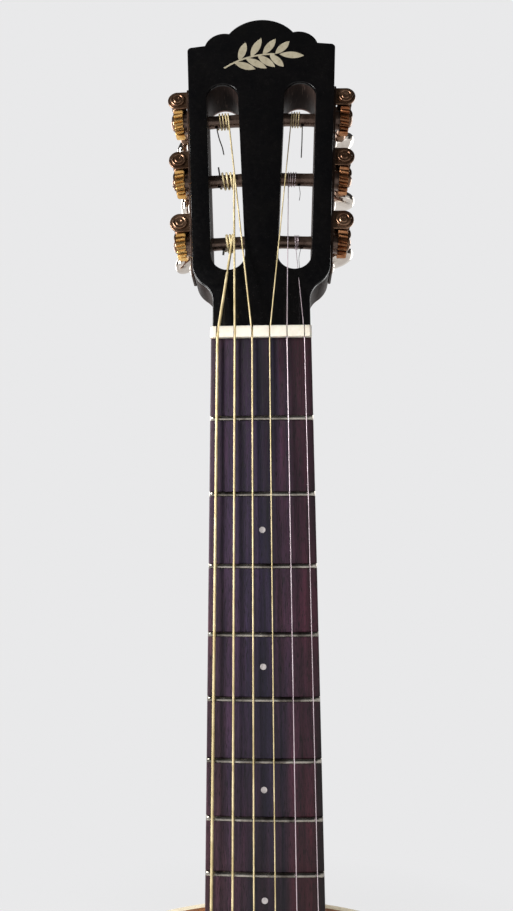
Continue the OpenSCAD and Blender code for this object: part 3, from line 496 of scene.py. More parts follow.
def wood(name, dark, light, pore, band_mm=3.0, pore_mm=0.25, pore_share=0.4, length=18, rough=0.4,
         coat=0.0, along="z", seed=0.0, swirl=0.4):
    """Straight-grained timber: broad bands, fine lines and open pores, all running along one axis."""
    f = Finish(name)

    def grain(width_mm, stretch):
        fine, long = 1 / (width_mm * MM), 1 / (width_mm * stretch * MM)
        return {"z": (fine, fine, long), "x": (long, fine, fine)}[along]

    bands = f.noise(grain(band_mm, length), 3, 0.55, swirl, (seed, seed, 0))
    lines = f.noise(grain(band_mm / 6, length * 2), 5, 0.7, 0.2, (0, seed, seed))
    both = f.mix(0.45, bands, lines)
    colour = f.ramp(both, (0.33, tone(*dark)), (0.66, tone(*light)))
    pores = f.noise(grain(pore_mm, 16), 2, 0.5, 0, (seed, 1, 2))
    holes = f.ramp(pores, (pore_share - 0.06, 1.0), (pore_share, 0.0))
    colour = f.mix(holes, colour, tone(*pore))
    smudge = f.noise((18, 18, 12), 4, 0.6)
    colour = f.mix(f.ramp(smudge, (0.35, 0.0), (0.75, 0.35)), colour,
                   f.mix(1.0, colour, (0.72, 0.68, 0.66, 1), "MULTIPLY"))
    shine = f.ramp(f.noise((60, 60, 25), 5, 0.65), (0.3, rough * 0.82), (0.7, min(1.0, rough * 1.25)))
    relief = f.mix(0.5, lines, f.ramp(holes, (0, 1.0), (1, 0.0)))
    return f.set(colour=colour, rough=shine, normal=f.bump(relief, 0.06, 0.12 if coat else 0.5), coat=coat,
                 coat_rough=0.08)


def lacquered_head(material):
    """Dark lacquer over the wood past the nut, but for the headstock's back; scuffed on its walls."""
    start, end = 9 * MM, (HEAD_T - 1.3) * MM
    f = Finish(material)
    rise = f.calc("SUBTRACT", f.along("Z"), NUT_Z * MM)
    back = f.calc("SUBTRACT", f.along("Y"), FACE_Y * MM)
    t = f.calc("ADD", f.calc("MULTIPLY", rise, COS_T), f.calc("MULTIPLY", back, SIN_T))
    n = f.calc("SUBTRACT", f.calc("MULTIPLY", back, COS_T), f.calc("MULTIPLY", rise, SIN_T))
    amount = f.calc("MULTIPLY", f.calc("GREATER_THAN", t, start), f.calc("LESS_THAN", n, end))
    scuffs = f.ramp(f.noise((1500, 90, 350), 4, 0.75, 0.4), (0.58, 0.0), (0.72, 0.45))
    clouds = f.ramp(f.noise((120, 60, 60), 4, 0.6), (0.35, tone(24, 18, 17)), (0.7, tone(46, 36, 32)))
    f.lay("colour", amount, f.mix(scuffs, clouds, tone(110, 94, 86)))
    f.lay("rough", amount, (0.62, 0.62, 0.62, 1))
    f.set(specular=f.ramp(amount, (0.0, 0.5), (1.0, 0.06)))


def metal(name, dark, light, rough=0.2, grime_and_gap_shade=(20, 14, 10), dirty=0.3, brushed=(400, 400, 400), share=1.0,
          gap_shade=0.0):
    """Plated or bare metal, clouded by tarnish and marked by fine wear. dirty is how far dirt covers it,
    share how much of it is metal, and the last argument how far painted shade, a dim copy of the dirt colour,
    fills the places where two surfaces lie close."""
    f = Finish(name)
    patches = f.noise((110, 110, 110), 4, 0.55, 0.4)
    colour = f.ramp(patches, (0.36, tone(*dark)), (0.64, tone(*light)))
    dirt = f.ramp(f.noise((300, 300, 300), 5, 0.7, 0.3, (5, 5, 1)), (0.32, dirty), (0.5, 0.0))
    colour = f.mix(dirt, colour, tone(*grime_and_gap_shade))
    if gap_shade:
        # Painted shade: ambient occlusion darkens the colour towards a dim copy of the dirt colour where
        # surfaces lie close
        space = f.node("ShaderNodeAmbientOcclusion", {"Distance": 1.4 * MM}, samples=6).outputs["AO"]
        colour = f.mix(f.ramp(space, (0.35, gap_shade), (0.8, 0.0)), colour, tone(*[c * 0.35 for c in grime_and_gap_shade]))
    marks = f.noise(brushed, 3, 0.8, 0, (1, 7, 2))
    shine = f.ramp(f.mix(0.5, marks, patches), (0.35, rough * 0.7), (0.68, rough * 1.5))
    shine = f.mix(dirt, shine, (0.5, 0.5, 0.5, 1))
    return f.set(colour=colour, metal=share, rough=shine, normal=f.bump(marks, 0.006, 0.3))


def cast(name, dark, light, rough=0.3, coat=0.0, subsurface=0.0, fleck=(500, 500, 500), depth=0.01,
         specular=0.5):
    """Bone, celluloid or moulded plastic: faint clouds of tone, fine scratches and a soft skin."""
    f = Finish(name)
    clouds = f.noise((90, 90, 60), 4, 0.6, 0.5)
    flecks = f.noise(fleck, 5, 0.7, 0, (2, 4, 6))
    colour = f.ramp(f.mix(0.35, clouds, flecks), (0.35, tone(*dark)), (0.65, tone(*light)))
    shine = f.ramp(flecks, (0.3, rough * 0.7), (0.7, rough * 1.35))
    normal = f.bump(f.mix(0.5, clouds, flecks), depth, 0.4)
    return f.set(colour=colour, rough=shine, normal=normal, coat=coat, coat_rough=0.06,
                 subsurface=subsurface, specular=specular)


def board_wood():
    """Dark rosewood in broad stripes, purple on the bass side and red-brown on the treble side; the tone
    across the board also carries painted light, lighter on the bass side and dark at the treble edge.
    """
    f = Finish(wood("rosewood_board", (92, 84, 92), (236, 222, 226), (62, 50, 54), band_mm=3.2,
                    pore_mm=0.2, pore_share=0.43, length=30, rough=0.5, seed=11.0, swirl=0.3))
    drift = f.calc("MULTIPLY", f.noise((150, 150, 7), 2, 0.55, 0.3), 34 * MM)
    across = f.calc("DIVIDE", f.calc("ADD", f.calc("ADD", f.along("X"), 10 * MM), drift), 54 * MM)
    # Tone across the board: wood colour, plus a painted reflection that makes the bass side lighter and
    # painted shade at the dark treble edge
    tint_and_painted_light = f.ramp(across, (0.0, tone(82, 58, 70)), (0.28, tone(70, 56, 84)), (0.5, tone(40, 38, 62)),
                  (0.7, tone(60, 38, 54)), (0.9, tone(62, 32, 46)), (1.0, tone(34, 16, 24)))
    patches = f.ramp(f.noise((130, 130, 20), 3, 0.6, 0.4, (3, 1, 2)), (0.34, (0.66, 0.66, 0.74, 1)),
                     (0.5, (1, 1, 1, 1)), (0.68, (1.45, 1.2, 1.24, 1)))
    # Tone along the board: darker by the nut, a little lighter further down, and browner towards the body
    below_nut = f.calc("DIVIDE", f.calc("SUBTRACT", NUT_Z * MM, f.along("Z")), 250 * MM)
    along_board_tone = f.ramp(below_nut, (0.0, (0.78, 0.68, 0.66, 1)), (0.2, (1, 0.95, 0.97, 1)),
                  (0.4, (1.12, 1.04, 1.08, 1)), (0.75, (1, 0.9, 0.83, 1)), (0.95, (0.98, 0.79, 0.62, 1)))
    for layer in (tint_and_painted_light, patches, along_board_tone):
        f.lay("colour", 1.0, layer, "MULTIPLY")
    return f.set(specular=0.28)


FINISHES = {m.name: m for m in (
    wood("spruce_top", (176, 122, 62), (214, 164, 98), (150, 96, 44), band_mm=1.5, pore_mm=0.2,
         pore_share=0.34, length=60, rough=0.28, coat=0.6, seed=4.0, swirl=0.1),
    wood("mahogany_body", (98, 52, 22), (158, 98, 46), (50, 25, 11), band_mm=4, rough=0.34,
         coat=0.35, seed=7.0),
    wood("mahogany_neck", (78, 42, 26), (124, 74, 46), (46, 24, 14), band_mm=3.5, rough=0.42,
         seed=2.0),
    board_wood(),
    wood("rosewood_bridge", (28, 17, 14), (66, 41, 32), (12, 8, 7), band_mm=3,
         pore_mm=0.2, pore_share=0.43, length=20, rough=0.45, along="x", seed=3.0),
    wood("inner_wood", (186, 150, 100), (216, 184, 134), (160, 120, 74), band_mm=2.2,
         rough=0.75, seed=5.0),
    cast("cream_binding", (214, 200, 170), (232, 220, 194), rough=0.25, coat=0.4),
    cast("cream_inlay", (132, 124, 104), (162, 154, 133), rough=0.3, coat=0.2),
    cast("bone", (214, 205, 188), (230, 223, 209), rough=0.35, subsurface=0.05),
    cast("pearl_dots", (138, 132, 132), (206, 198, 196), rough=0.22, fleck=(900, 900, 500)),
    cast("black_plastic", (8, 8, 8), (20, 19, 18), rough=0.22),
    cast("black_head_veneer", (4, 4, 5), (9, 8, 8), rough=0.22, depth=0.0006, specular=0.3),
    cast("rosette_inlay", (70, 38, 22), (120, 74, 44), rough=0.25, coat=0.5),
    metal("fret_wire", (96, 90, 84), (184, 178, 168), rough=0.18, grime_and_gap_shade=(52, 42, 36),
          brushed=(40, 2600, 2600)),
    metal("gear_brass", (200, 150, 80), (236, 196, 126), rough=0.24, grime_and_gap_shade=(104, 60, 26), dirty=0.2,
          share=0.85, gap_shade=0.95),
    # A darker copy of the gear brass for the treble side: painted shade for the gears that face away from the
    # key light
    metal("gear_brass_shaded", (128, 78, 48), (184, 132, 92), rough=0.2, grime_and_gap_shade=(70, 36, 22), dirty=0.35,
          share=0.9, gap_shade=0.95),
    metal("nickel", (196, 186, 176), (226, 218, 208), rough=0.07, grime_and_gap_shade=(96, 80, 66), dirty=0.12),
    metal("aged_brass_plate", (84, 60, 44), (138, 108, 86), rough=0.2, grime_and_gap_shade=(44, 28, 20), dirty=0.4,
          share=0.85),
    metal("tarnished_plate", (36, 25, 20), (66, 48, 38), rough=0.4, grime_and_gap_shade=(20, 13, 10), dirty=0.5,
          share=0.6),
    metal("post_steel", (74, 58, 50), (112, 94, 84), rough=0.26, grime_and_gap_shade=(40, 28, 24), dirty=0.3,
          brushed=(2600, 200, 200), share=0.8),
    metal("steel", (120, 118, 116), (170, 168, 165), rough=0.3),
    metal("wound_string", (194, 175, 126), (224, 207, 164), rough=0.5, grime_and_gap_shade=(116, 92, 50), dirty=0.3,
          share=0.35),
    metal("plain_string", (196, 178, 184), (222, 206, 212), rough=0.34, dirty=0.05, share=0.6),
)}

lacquered_head(FINISHES["mahogany_neck"])

for part in frame["record"]["subparts"]:
    node = frame["nodes"][part["node"]]
    node.data.materials.clear()
    node.data.materials.append(FINISHES[part["material_slot"]])

# ---------- Headstock ----------

def bearing(v):
    return math.degrees(math.atan2(v[1], v[0]))


def head_outline(n=24):
    """From the stem's fillet and flare up the side to the corner, the lobe and the crown."""
    fillet_r, flare_r, corner_r, lobe_r, crown_r = 11, 12, 2.2, 10.2, 20.5
    flare_c = np.array((FLARE_HW - flare_r, FLARE_T))
    fillet_x = STEM_HW + fillet_r
    fillet_drop = math.sqrt((flare_r + fillet_r) ** 2 - (fillet_x - flare_c[0]) ** 2)
    fillet_c = np.array((fillet_x, FLARE_T - fillet_drop))
    corner_c = (head_hw(SHOULDER_T - 2.4) - corner_r, SHOULDER_T - 2.6)
    lobe_c, crown_c = np.array((19, 160.4)), np.array((0, 158.1))
    gap = np.linalg.norm(lobe_c - crown_c)
    notch_a = bearing(lobe_c - crown_c) + math.degrees(math.acos(
        (crown_r ** 2 + gap ** 2 - lobe_r ** 2) / (2 * crown_r * gap)))
    notch = arc(*crown_c, crown_r, notch_a, notch_a, 0)[0]
    touch_a = bearing(flare_c - fillet_c)
    shoulder_a = math.degrees(math.asin((SHOULDER_T + 0.4 - lobe_c[1]) / lobe_r))
    return both_halves(
        [np.array((STEM_HW, -1.0))]
        + arc(*fillet_c, fillet_r, 180, touch_a, n)
        + arc(*flare_c, flare_r, touch_a - 180, 0, n)
        + arc(*corner_c, corner_r, 0, 90, n // 3)
        + arc(*lobe_c, lobe_r, shoulder_a, bearing(notch - lobe_c), n)
        + arc(*crown_c, crown_r, notch_a, 90, n))


def slot_loops(n=24):
    """The two slots as clockwise loops."""
    lean = math.degrees(math.atan(SLOT_SLOPE))
    loop = (arc(SLOT_X, SLOT_T0, SLOT_R, 180 - lean, 360 - lean, n)
            + arc(slot_x(SLOT_T1), SLOT_T1, SLOT_R, -lean, 180 - lean, n))
    right = tidy_loop(loop)[::-1]
    left = (right * (-1, 1))[::-1]
    return [right, left]


def nut_point(i):
    x = -19.05 + 7.62 * i
    return np.array((x, BOARD_Y - 1.25 + crown_drop(x) - GAUGES[i], NUT_Z + 1.2))


def coil_x(i):
    """Place of a string's first turn along its post, in the side frame."""
    return -(head_hw(POST1_T) - slot_x(POST1_T) - SLOT_R) - COIL_IN[i]


def wrap_point(i):
    local = Vector((coil_x(i), POST_N - POST_R - 0.1 - GAUGES[i], 0))
    return np.array(tuner_frame(i) @ local)


def string_ramps():
    """The grooves that let the two outer strings down into the slots."""
    rods = []
    for i in (0, 5):
        a, b = nut_point(i), wrap_point(i)
        rods.append(tube([a + (b - a) * 0.25, a + (b - a) * 0.9], GAUGES[i] + 0.3, 32))
    return joined(rods)


def head_slab(back, front, bevel_front, bevel_back):
    edges = [(bevel_front, bevel_back)] + [(bevel_front * 0.7, bevel_back * 0.7)] * 2
    return slab([head_outline()] + slot_loops(), back, front, edges).at(HEAD)


HEEL_TOE, HEEL_LEN = 19, 66
HEEL_CAP_T = 2
SHAFT_NUT, SHAFT_JOINT = 15, 17.5
VOLUTE_LEN = 22
VOLUTE_Z = NUT_Z - 24
HEEL_DEPTH = DEPTH_NECK - HEEL_CAP_T - 0.02


def shaft_depth(z):
    return SHAFT_JOINT + (SHAFT_NUT - SHAFT_JOINT) * (z - BODY_LEN) / (NUT_Z - BODY_LEN)


def neck_depth(z):
    """Depth of the neck behind the fretboard's glue face."""
    u = (z - BODY_LEN) / HEEL_TOE
    v = (z - BODY_LEN - HEEL_TOE) / (HEEL_LEN - HEEL_TOE)
    if u <= 1:
        return HEEL_DEPTH / math.sqrt(1 - 0.48 ** 2 * (1 - max(u, 0) ** 2))
    if v < 1:
        return shaft_depth(z) + (HEEL_DEPTH - shaft_depth(z)) * (1 - math.sqrt(1 - (1 - v) ** 2))
    swell = min(max((z - VOLUTE_Z) / VOLUTE_LEN, 0), 1)
    return shaft_depth(z) + swell ** 2 * (HEAD_T - SHAFT_NUT + 1.2)


def neck_loop(z):
    w, d = neck_w(z) / 2, neck_depth(z)
    power = 1 - 0.78 * min(max((z - VOLUTE_Z) / VOLUTE_LEN, 0), 1) ** 1.5
    a = np.radians(np.linspace(0, 180, 61))
    x = w * np.sign(np.cos(a)) * np.abs(np.cos(a)) ** power
    y = FACE_Y + np.minimum(d * np.sin(a) ** power, HEEL_DEPTH)
    return np.c_[x, y, np.full(len(a), z)]


def neck_shape():
    toe = BODY_LEN + HEEL_TOE
    stations = np.r_[
        np.linspace(BODY_LEN - 1.9, toe, 12),
        toe + (HEEL_LEN - HEEL_TOE) * np.linspace(0.08, 1, 26) ** 1.8,
        np.linspace(BODY_LEN + HEEL_LEN + 10, VOLUTE_Z, 24),
        np.linspace(VOLUTE_Z + 1.5, VOLUTE_Z + VOLUTE_LEN, 14),
        NUT_Z + 3]
    shaft = loft([neck_loop(z) for z in stations])
    shape = combined(shaft, head_slab(-HEAD_T, -VENEER_T, 0.05, 1.2), "UNION")
    for loop in slot_loops():
        shape = combined(shape, slab([loop[::-1]], -40, 5, 0.05).at(HEAD))
    return combined(shape, string_ramps())


piece("neck_wood", neck_shape(), "mahogany_neck", nodes=["neck"], crease=32)
piece("head_face", combined(head_slab(-VENEER_T + 0.02, 0, 0.45, 0.05), string_ramps()),
      "black_head_veneer", nodes=["headplate"], crease=32)

# ---------- Fretboard ----------


def board_loop(z, ease=0.7):
    w = neck_w(z) / 2
    xs = np.linspace(-w + ease, w - ease, 33)
    a = np.radians(np.linspace(0, 90, 6))
    edge = BOARD_Y + crown_drop(w - ease)
    crown = [(x, BOARD_Y + crown_drop(x)) for x in xs]
    right = [(w - ease + ease * math.sin(t), edge + ease * (1 - math.cos(t))) for t in a[1:]]
    left = [(-x, y) for x, y in reversed(right)]
    loop = left + crown + right + [(w, FACE_Y - 0.02), (-w, FACE_Y - 0.02)]
    return np.array([(x, y, z) for x, y in loop])


def fretboard_shape():
    """Crowned across, with eased long edges."""
    return loft([board_loop(z) for z in np.linspace(BOARD_END_Z, NUT_Z - 0.02, 60)])


FRET_W, FRET_H = 2.2, 1.05
FRET_BEVEL = math.tan(math.radians(33))


def fret_shape(n):
    """Crowned wire over the board, its ends filed to a bevel."""
    z, w = fret_z(n), neck_w(fret_z(n)) / 2 - 0.05
    a = np.radians(np.linspace(0, 180, 15))
    outline = [(FRET_W / 2 * math.cos(t), FRET_H * math.sin(t) ** 0.85) for t in a]
    outline += [(-FRET_W / 2, -0.3), (FRET_W / 2, -0.3)]
    loops = []
    for share in np.r_[-1, np.linspace(-0.992, 0.992, 31), 1]:
        tip = abs(share) == 1
        loop = []
        for dz, h in outline:
            x = share * (w - max(h, 0) * FRET_BEVEL)
            y = BOARD_Y + crown_drop(x) - h + (0.12 * max(h, 0) if tip else 0)
            loop.append((x, y, z + dz * (0.9 if tip else 1)))
        loops.append(loop)
    return loft(loops)


def dot_shape(x, z, r=1.4):
    top = BOARD_Y + crown_drop(x)
    profile = [(-1.2, r), (-0.05, r), (0.015, r * 0.97), (0.04, r * 0.8), (0.05, r * 0.4), (0.05, 0)]
    return lathe(profile, 40).at(shift(x, top, z) @ Z_TO_FRONT)


def dots_shape():
    dots = []
    for n in (3, 5, 7, 9, 12, 15):
        z = (fret_z(n) + fret_z(n - 1)) / 2
        dots += [dot_shape(x, z) for x in ((-9, 9) if n == 12 else (0,))]
    return joined(dots)


def nut_shape():
    """Bone nut: rounded along its top, with a slot for each string."""
    half, top, length, ease, end_r = NUT_W / 2 + 0.1, 2.4, 5.5, 0.55, 1.2
    slots = [(*nut_point(i)[:2], GAUGES[i]) for i in range(6)]
    xs = list(np.linspace(-half, half, 46))
    for slot, _, gauge in slots:
        r = gauge + 0.05
        xs += list(slot + r * np.sin(np.linspace(-math.pi / 2, math.pi / 2, 9)))
        xs += [slot - r * 1.05, slot + r * 1.05]
    loops = []
    for x in sorted(xs):
        corner = max(0.0, abs(x) - (half - end_r)) / end_r
        crest = BOARD_Y - top + crown_drop(x) * 0.6 + 1.1 * (1 - math.sqrt(max(1 - corner ** 2, 0)))
        seat = crest
        for slot, floor, gauge in slots:
            r = gauge + 0.04
            if abs(x - slot) <= r:
                seat = floor + math.sqrt(max(r * r - (x - slot) ** 2, 0))
        back = seat + (3.1 if seat > crest else 1.6)
        loop = [(FACE_Y + 0.02, 0), (seat + ease, 0)]
        loop += [(seat + ease * (1 - math.sin(a)), ease * (1 - math.cos(a)))
                 for a in np.radians(np.linspace(15, 90, 6))]
        loop += [(seat + 0.05, 1.38), (seat + (back - seat) * 0.55, length * 0.7), (back, length - 0.32),
                 (back + 0.5, length), (FACE_Y + 1.4, length)]
        loops.append([(x, y, NUT_Z + 0.02 + z) for y, z in loop])
    return loft(loops)


piece("fretboard_wood", fretboard_shape(), "rosewood_board", nodes=["fretboard"])
piece("fret_wires", joined([fret_shape(n) for n in range(1, FRET_COUNT + 1)]), "fret_wire",
      nodes=["frets"], crease=50)
piece("board_dots", dots_shape(), "pearl_dots", nodes=["position_dots"])
piece("nut_bone", nut_shape(), "bone", nodes=["nut"], crease=40)

# ---------- Strings ----------

COIL_START = math.radians(8)
# Cut ends, as points from the post's string hole along the side frame's axes, and their radius
TAILS = [([(0.2, 3.2, -1), (0.6, 4.2, -3.4)], 0.6),
         ([(0, 3.4, 0.5), (-0.3, 3.6, 5), (0.3, 3.0, 10.6)], 0.42),
         ([(0, 3.2, -2), (-1.0, 2.6, -8), (-2.5, 1.6, -14), (-3.1, 1.2, -18.5)], 0.32),
         ([(0, 3.2, -2), (0.1, 2.4, -10), (0.0, 1.4, -21)], 0.3),
         ([(0.1, 3.1, -1.5), (0.9, 3.4, -5), (0.5, 3.0, -9.5)], 0.15),
         ([(-0.2, 3.1, -1.5), (-1.0, 3.4, -6), (-0.5, 3.0, -12)], 0.13)]


def saddle_point(i):
    x = -28.75 + 11.5 * i
    return np.array((x, FACE_Y - 11.4 + crown_drop(x) - GAUGES[i], SADDLE_Z))


def wind(path, i):
    """Wire along a path: plain, or with its winding as rings of two radii."""
    r = GAUGES[i]
    if i > 3:
        return tube(resampled(path, 1.2), r, 12)
    points = resampled(path, max(0.21, 0.36 * r))
    return tube(points, np.where(np.arange(len(points)) % 2 == 0, r, r * 0.84), 10)


def wire_r(i):
    """Distance from the post's axis to the middle of a wire wound on it."""
    return POST_R + 0.12 + GAUGES[i]


def run_path(i):
    saddle = saddle_point(i)
    pin_z = PIN_Z + STRING_EXIT
    pin_top = (saddle[0], FACE_Y - BRIDGE_H - GAUGES[i] - 0.1, pin_z)
    pin_end = (saddle[0], FACE_Y + TOP_T + 2.5, pin_z)
    back, up = wire_r(i) * math.cos(COIL_START), wire_r(i) * math.sin(COIL_START)
    touch = tuner_frame(i) @ Vector((coil_x(i), POST_N - back, up))
    return rounded([pin_end, pin_top, saddle, nut_point(i), touch], [0, 2.5, 1.2, 0.8, 0])


def hole_x(i):
    """Place of the string hole along a post."""
    return coil_x(i) + COIL_PITCH[i] * COIL_TURNS[i] + 1.2


def coil_path(i):
    """Round the post from the string's first place, outwards, and into the string hole."""
    r = wire_r(i)
    turns = COIL_TURNS[i] - 16 / 360
    straight = 0.15
    a = np.linspace(0, 2 * math.pi * turns, int(turns * 40) + 1)
    drift = COIL_PITCH[i] * np.maximum(a / (2 * math.pi) - straight, 0) * turns / (turns - straight)
    wobble = 0.04 * np.sin(a * 0.7 + i)
    bearings = a + COIL_START
    turn = np.c_[coil_x(i) + drift + wobble, POST_N - r * np.cos(bearings), r * np.sin(bearings)]
    x = hole_x(i)
    end = [(x - 0.7, POST_N + r * 0.92, -r * 0.55), (x, POST_N + r * 0.75, 0), (x, POST_N, 0)]
    return np.vstack([turn, rounded([turn[-1]] + end, 0.8)[1:]])


def tail_path(i):
    """Straight out through the hole's other side, then bent as the cutters left it."""
    hole = np.array((hole_x(i), POST_N, 0))
    return rounded([hole] + [hole + p for p in TAILS[i][0]], 1.4)


BALL = lathe([(-1.6, 0.9), (-1.6, 1.25), (-0.7, 1.25), (-0.4, 0.95), (0.4, 0.95), (0.7, 1.25), (1.6, 1.25),
              (1.6, 0.9)], 24)

for i, name in enumerate(SIDE_NAMES):
    finish = "wound_string" if i < 4 else "plain_string"
    path, post = run_path(i), "string_post_" + name
    ball = BALL.at(shift(path[0][0], path[0][1] + 1.27, path[0][2]) @ Z_TO_X)
    tail = tube(resampled(tail_path(i), 0.4), TAILS[i][1], 10)
    piece("string_run_" + name, wind(path, i) + ball, finish, nodes=["string_" + name], crease=60)
    piece("string_coil_" + name, wind(coil_path(i), i).at(tuner_frame(i)), finish, post, crease=60)
    piece("string_tail_" + name, tail.at(tuner_frame(i)), "steel", post, crease=60)

# ---------- Tuners ----------


def screw_shape(r, dome, shank, slot_w=0.6):
    """Round-headed screw about local z: dome above zero, shank below."""
    core, brim = r * 0.42, 0.12
    profile = [(-shank, 0.05), (-shank + 1.5, core), (-0.02, core), (-0.02, r * 0.96), (dome * brim, r)]
    profile += [(dome * (brim + (1 - brim) * math.sin(t)), r * math.cos(t))
                for t in np.linspace(0, math.pi / 2, 9)[1:]]
    x, y = r * 1.2, slot_w / 2
    slot = slab([np.array([(-x, -y), (x, -y), (x, y), (-x, y)])], dome * 0.5, dome * 2, 0.02)
    return combined(lathe(profile, 40), slot)


def plate_shape(side):
    """The flat plate on the headstock's side."""
    r = 3.2
    (y0, y1), (z0, z1) = PLATE_Y, PLATE_Z
    corners = ((y0 + r, z0 + r, 180), (y1 - r, z0 + r, 270), (y1 - r, z1 - r, 0), (y0 + r, z1 - r, 90))
    edge = tidy_loop([p for y, z, a in corners for p in arc(y, z, r, a, a + 90, 8)])
    holes = [circle_hole(POST_N, k * POST_PITCH, POST_R + 0.05, 32) for k in range(3)]
    plate = slab([edge] + holes, 0.02, PLATE_T, [(0.35, 0.1)] + [(0.15, 0.1)] * 3)
    return plate.at(side_frame(side, 0) @ Z_TO_X)


def ears_shape(side):
    """The plate's rounded ears, one before and one behind each worm."""
    foot, neck = 0.5, EAR_R * 0.96
    rim = tidy_loop([(foot, -neck)] + arc(GEAR_MID, 0, EAR_R, -82, 82, 36) + [(foot, neck)])
    ear = slab([rim, circle_hole(GEAR_MID, 0, 2.05, 32)], -EAR_T, 0, [(0.45, 0.25), (0.1, 0.1)], 4)
    ears = [ear.at(shift(0, face, WORM_Z + k * POST_PITCH) @ flat)
            for k in range(3) for face, flat in ((EAR_Y[0], Z_TO_FRONT), (EAR_Y[1] + EAR_T, Z_TO_BACK))]
    return joined(ears).at(side_frame(side, 0))


GEAR_BASE_R = GEAR_PITCH_R * math.cos(PRESSURE)
GEAR_TIP_R = GEAR_PITCH_R + GEAR_M
GEAR_ROOT_R = GEAR_PITCH_R - 1.22 * GEAR_M
TOOTH_HALF = (math.pi * GEAR_M / 2 - 0.16) / 2 / GEAR_PITCH_R
LEAD = math.pi * GEAR_M
LEAN = LEAD / (2 * math.pi * WORM_PITCH_R) / GEAR_PITCH_R


def involute(r):
    """Half the tooth's angle at radius r."""
    def inv(a):
        return math.tan(a) - a
    return TOOTH_HALF + inv(PRESSURE) - (inv(math.acos(GEAR_BASE_R / r)) if r > GEAR_BASE_R else 0)


def gear_outline():
    """Rim of the gear as (radius, angle), with a gap facing the worm."""
    radii = list(np.linspace(GEAR_ROOT_R, GEAR_TIP_R, 7))
    step = 2 * math.pi / GEAR_TEETH
    points = []
    for j in range(GEAR_TEETH):
        middle = (j + 0.5) * step
        points += [(r, middle - involute(r)) for r in radii]
        points += [(r, middle + involute(r)) for r in reversed(radii)]
        points.append((GEAR_ROOT_R - 0.12, middle + step / 2))
    return np.array(points)


def gear_shape():
    """Leaning teeth, chamfered rims and a dished web; the axis is local x."""
    rim = gear_outline()

    def level(x, low=0.0, high=GEAR_TIP_R):
        """The rim's loop at x, with its radii kept between low and high."""
        r = np.clip(rim[:, 0], low, high)
        a = rim[:, 1] + LEAN * (x - GEAR_MID)
        return np.c_[np.full(len(r), x), -r * np.sin(a), r * np.cos(a)]

    def circle(x, r):
        return level(x, r, r)

    x0, x1 = GEAR_X
    web, chamfer, dish = GEAR_ROOT_R - 0.75, 0.32, 0.5
    loops = [circle(x0, 2.2), circle(x0, 3.1), circle(x0 + dish, 3.2), circle(x0 + dish, web),
             circle(x0, web + 0.15), level(x0, high=GEAR_TIP_R - chamfer), level(x0 + chamfer)]
    loops += [level(x) for x in np.linspace(x0 + 0.8, x1 - 0.8, 5)]
    loops += [level(x1 - chamfer), level(x1, high=GEAR_TIP_R - chamfer), circle(x1, web + 0.15),
              circle(x1 - dish, web), circle(x1 - dish, 3.5), circle(x1, 3.4), circle(x1, 2.2)]
    return loft(loops, closed=True)


def worm_shape():
    """Threaded shaft about local y, through both ears to the button, with a domed and dimpled front end."""
    root, tip = WORM_PITCH_R - 1.2 * GEAR_M, WORM_PITCH_R + GEAR_M
    half, lean = (LEAD / 2 - 0.24) / 2, math.tan(PRESSURE)
    crest, foot = half - (tip - WORM_PITCH_R) * lean, half + (WORM_PITCH_R - root) * lean
    per_turn, turns, bore = 28, 2.5, 1.98
    steps = int(per_turn * turns)
    loops = []
    for s in range(steps + 1):
        a = (s - steps / 2) * 2 * math.pi / per_turn
        high = root + (tip - root) * (0.15 + 0.85 * min(1, s / 5, (steps - s) / 5))
        profile = [(root - 0.3, -foot), (high - 0.12, -crest - 0.05), (high, -crest + 0.1),
                   (high, crest - 0.1), (high - 0.12, crest + 0.05), (root - 0.3, foot)]
        loops.append([(-r * math.sin(a), POST_N + h + LEAD * a / (2 * math.pi), -r * math.cos(a))
                      for r, h in profile])
    front = [(-0.75, 0.02), (-0.75, 0.5), (-0.95, 0.8), (-1.06, 1.2), (-1.06, 1.7), (-0.9, 1.95),
             (-0.72, 2.15), (-0.72, 2.35), (-0.9, 2.55), (-0.98, 2.9), (-0.9, 3.3), (-0.65, 3.6),
             (-0.3, 3.7), (-0.05, 3.62), (-0.04, bore), (EAR_T, bore), (EAR_T + 0.1, root)]
    collar = [(0.05, bore), (0.06, 3.0), (0.35, 3.4), (1.9, 3.4), (2.3, 3.0), (3.2, 2.55), (5.5, 2.25),
              (9, 2.15)]
    stalk = [(-3.6, 2.3), (-3.0, 2.9), (-0.9, 3.0), (-0.3, 2.6), (3, 2.3), (3, 0.02)]
    shaft = stepped([(EAR_Y[0], front), (EAR_Y[1], [(-0.1, root), (-0.05, bore)]), (EAR_Y[1] + EAR_T, collar),
                     (KEY_Y[0], stalk)], 40)
    return loft(loops) + shaft.at(Z_TO_Y)


def button_shape():
    """Oval button, full in the middle and thin at its rim, on a short collar; its stalk is along y."""
    mid_y = sum(KEY_Y) / 2
    half_x, half_y, half_t = 8.9, 6.5, 3.55
    loops = []
    for v in np.linspace(-0.5, 0.5, 31)[1:-1] * math.pi:
        c, s = max(math.cos(v), 0) ** 0.62, math.copysign(abs(math.sin(v)) ** 0.9, v)
        u = np.linspace(0, 2 * math.pi, 64, endpoint=False)
        x = np.sign(np.cos(u)) * np.abs(np.cos(u)) ** 0.86
        y = np.sign(np.sin(u)) * np.abs(np.sin(u)) ** 0.92
        waist = 1 - 0.05 * np.exp(-((u - 1.5 * math.pi) / 0.35) ** 2)
        loops.append(np.c_[half_x * c * x, mid_y + half_y * c * y * waist, np.full(64, half_t * s)])
    return loft(loops)


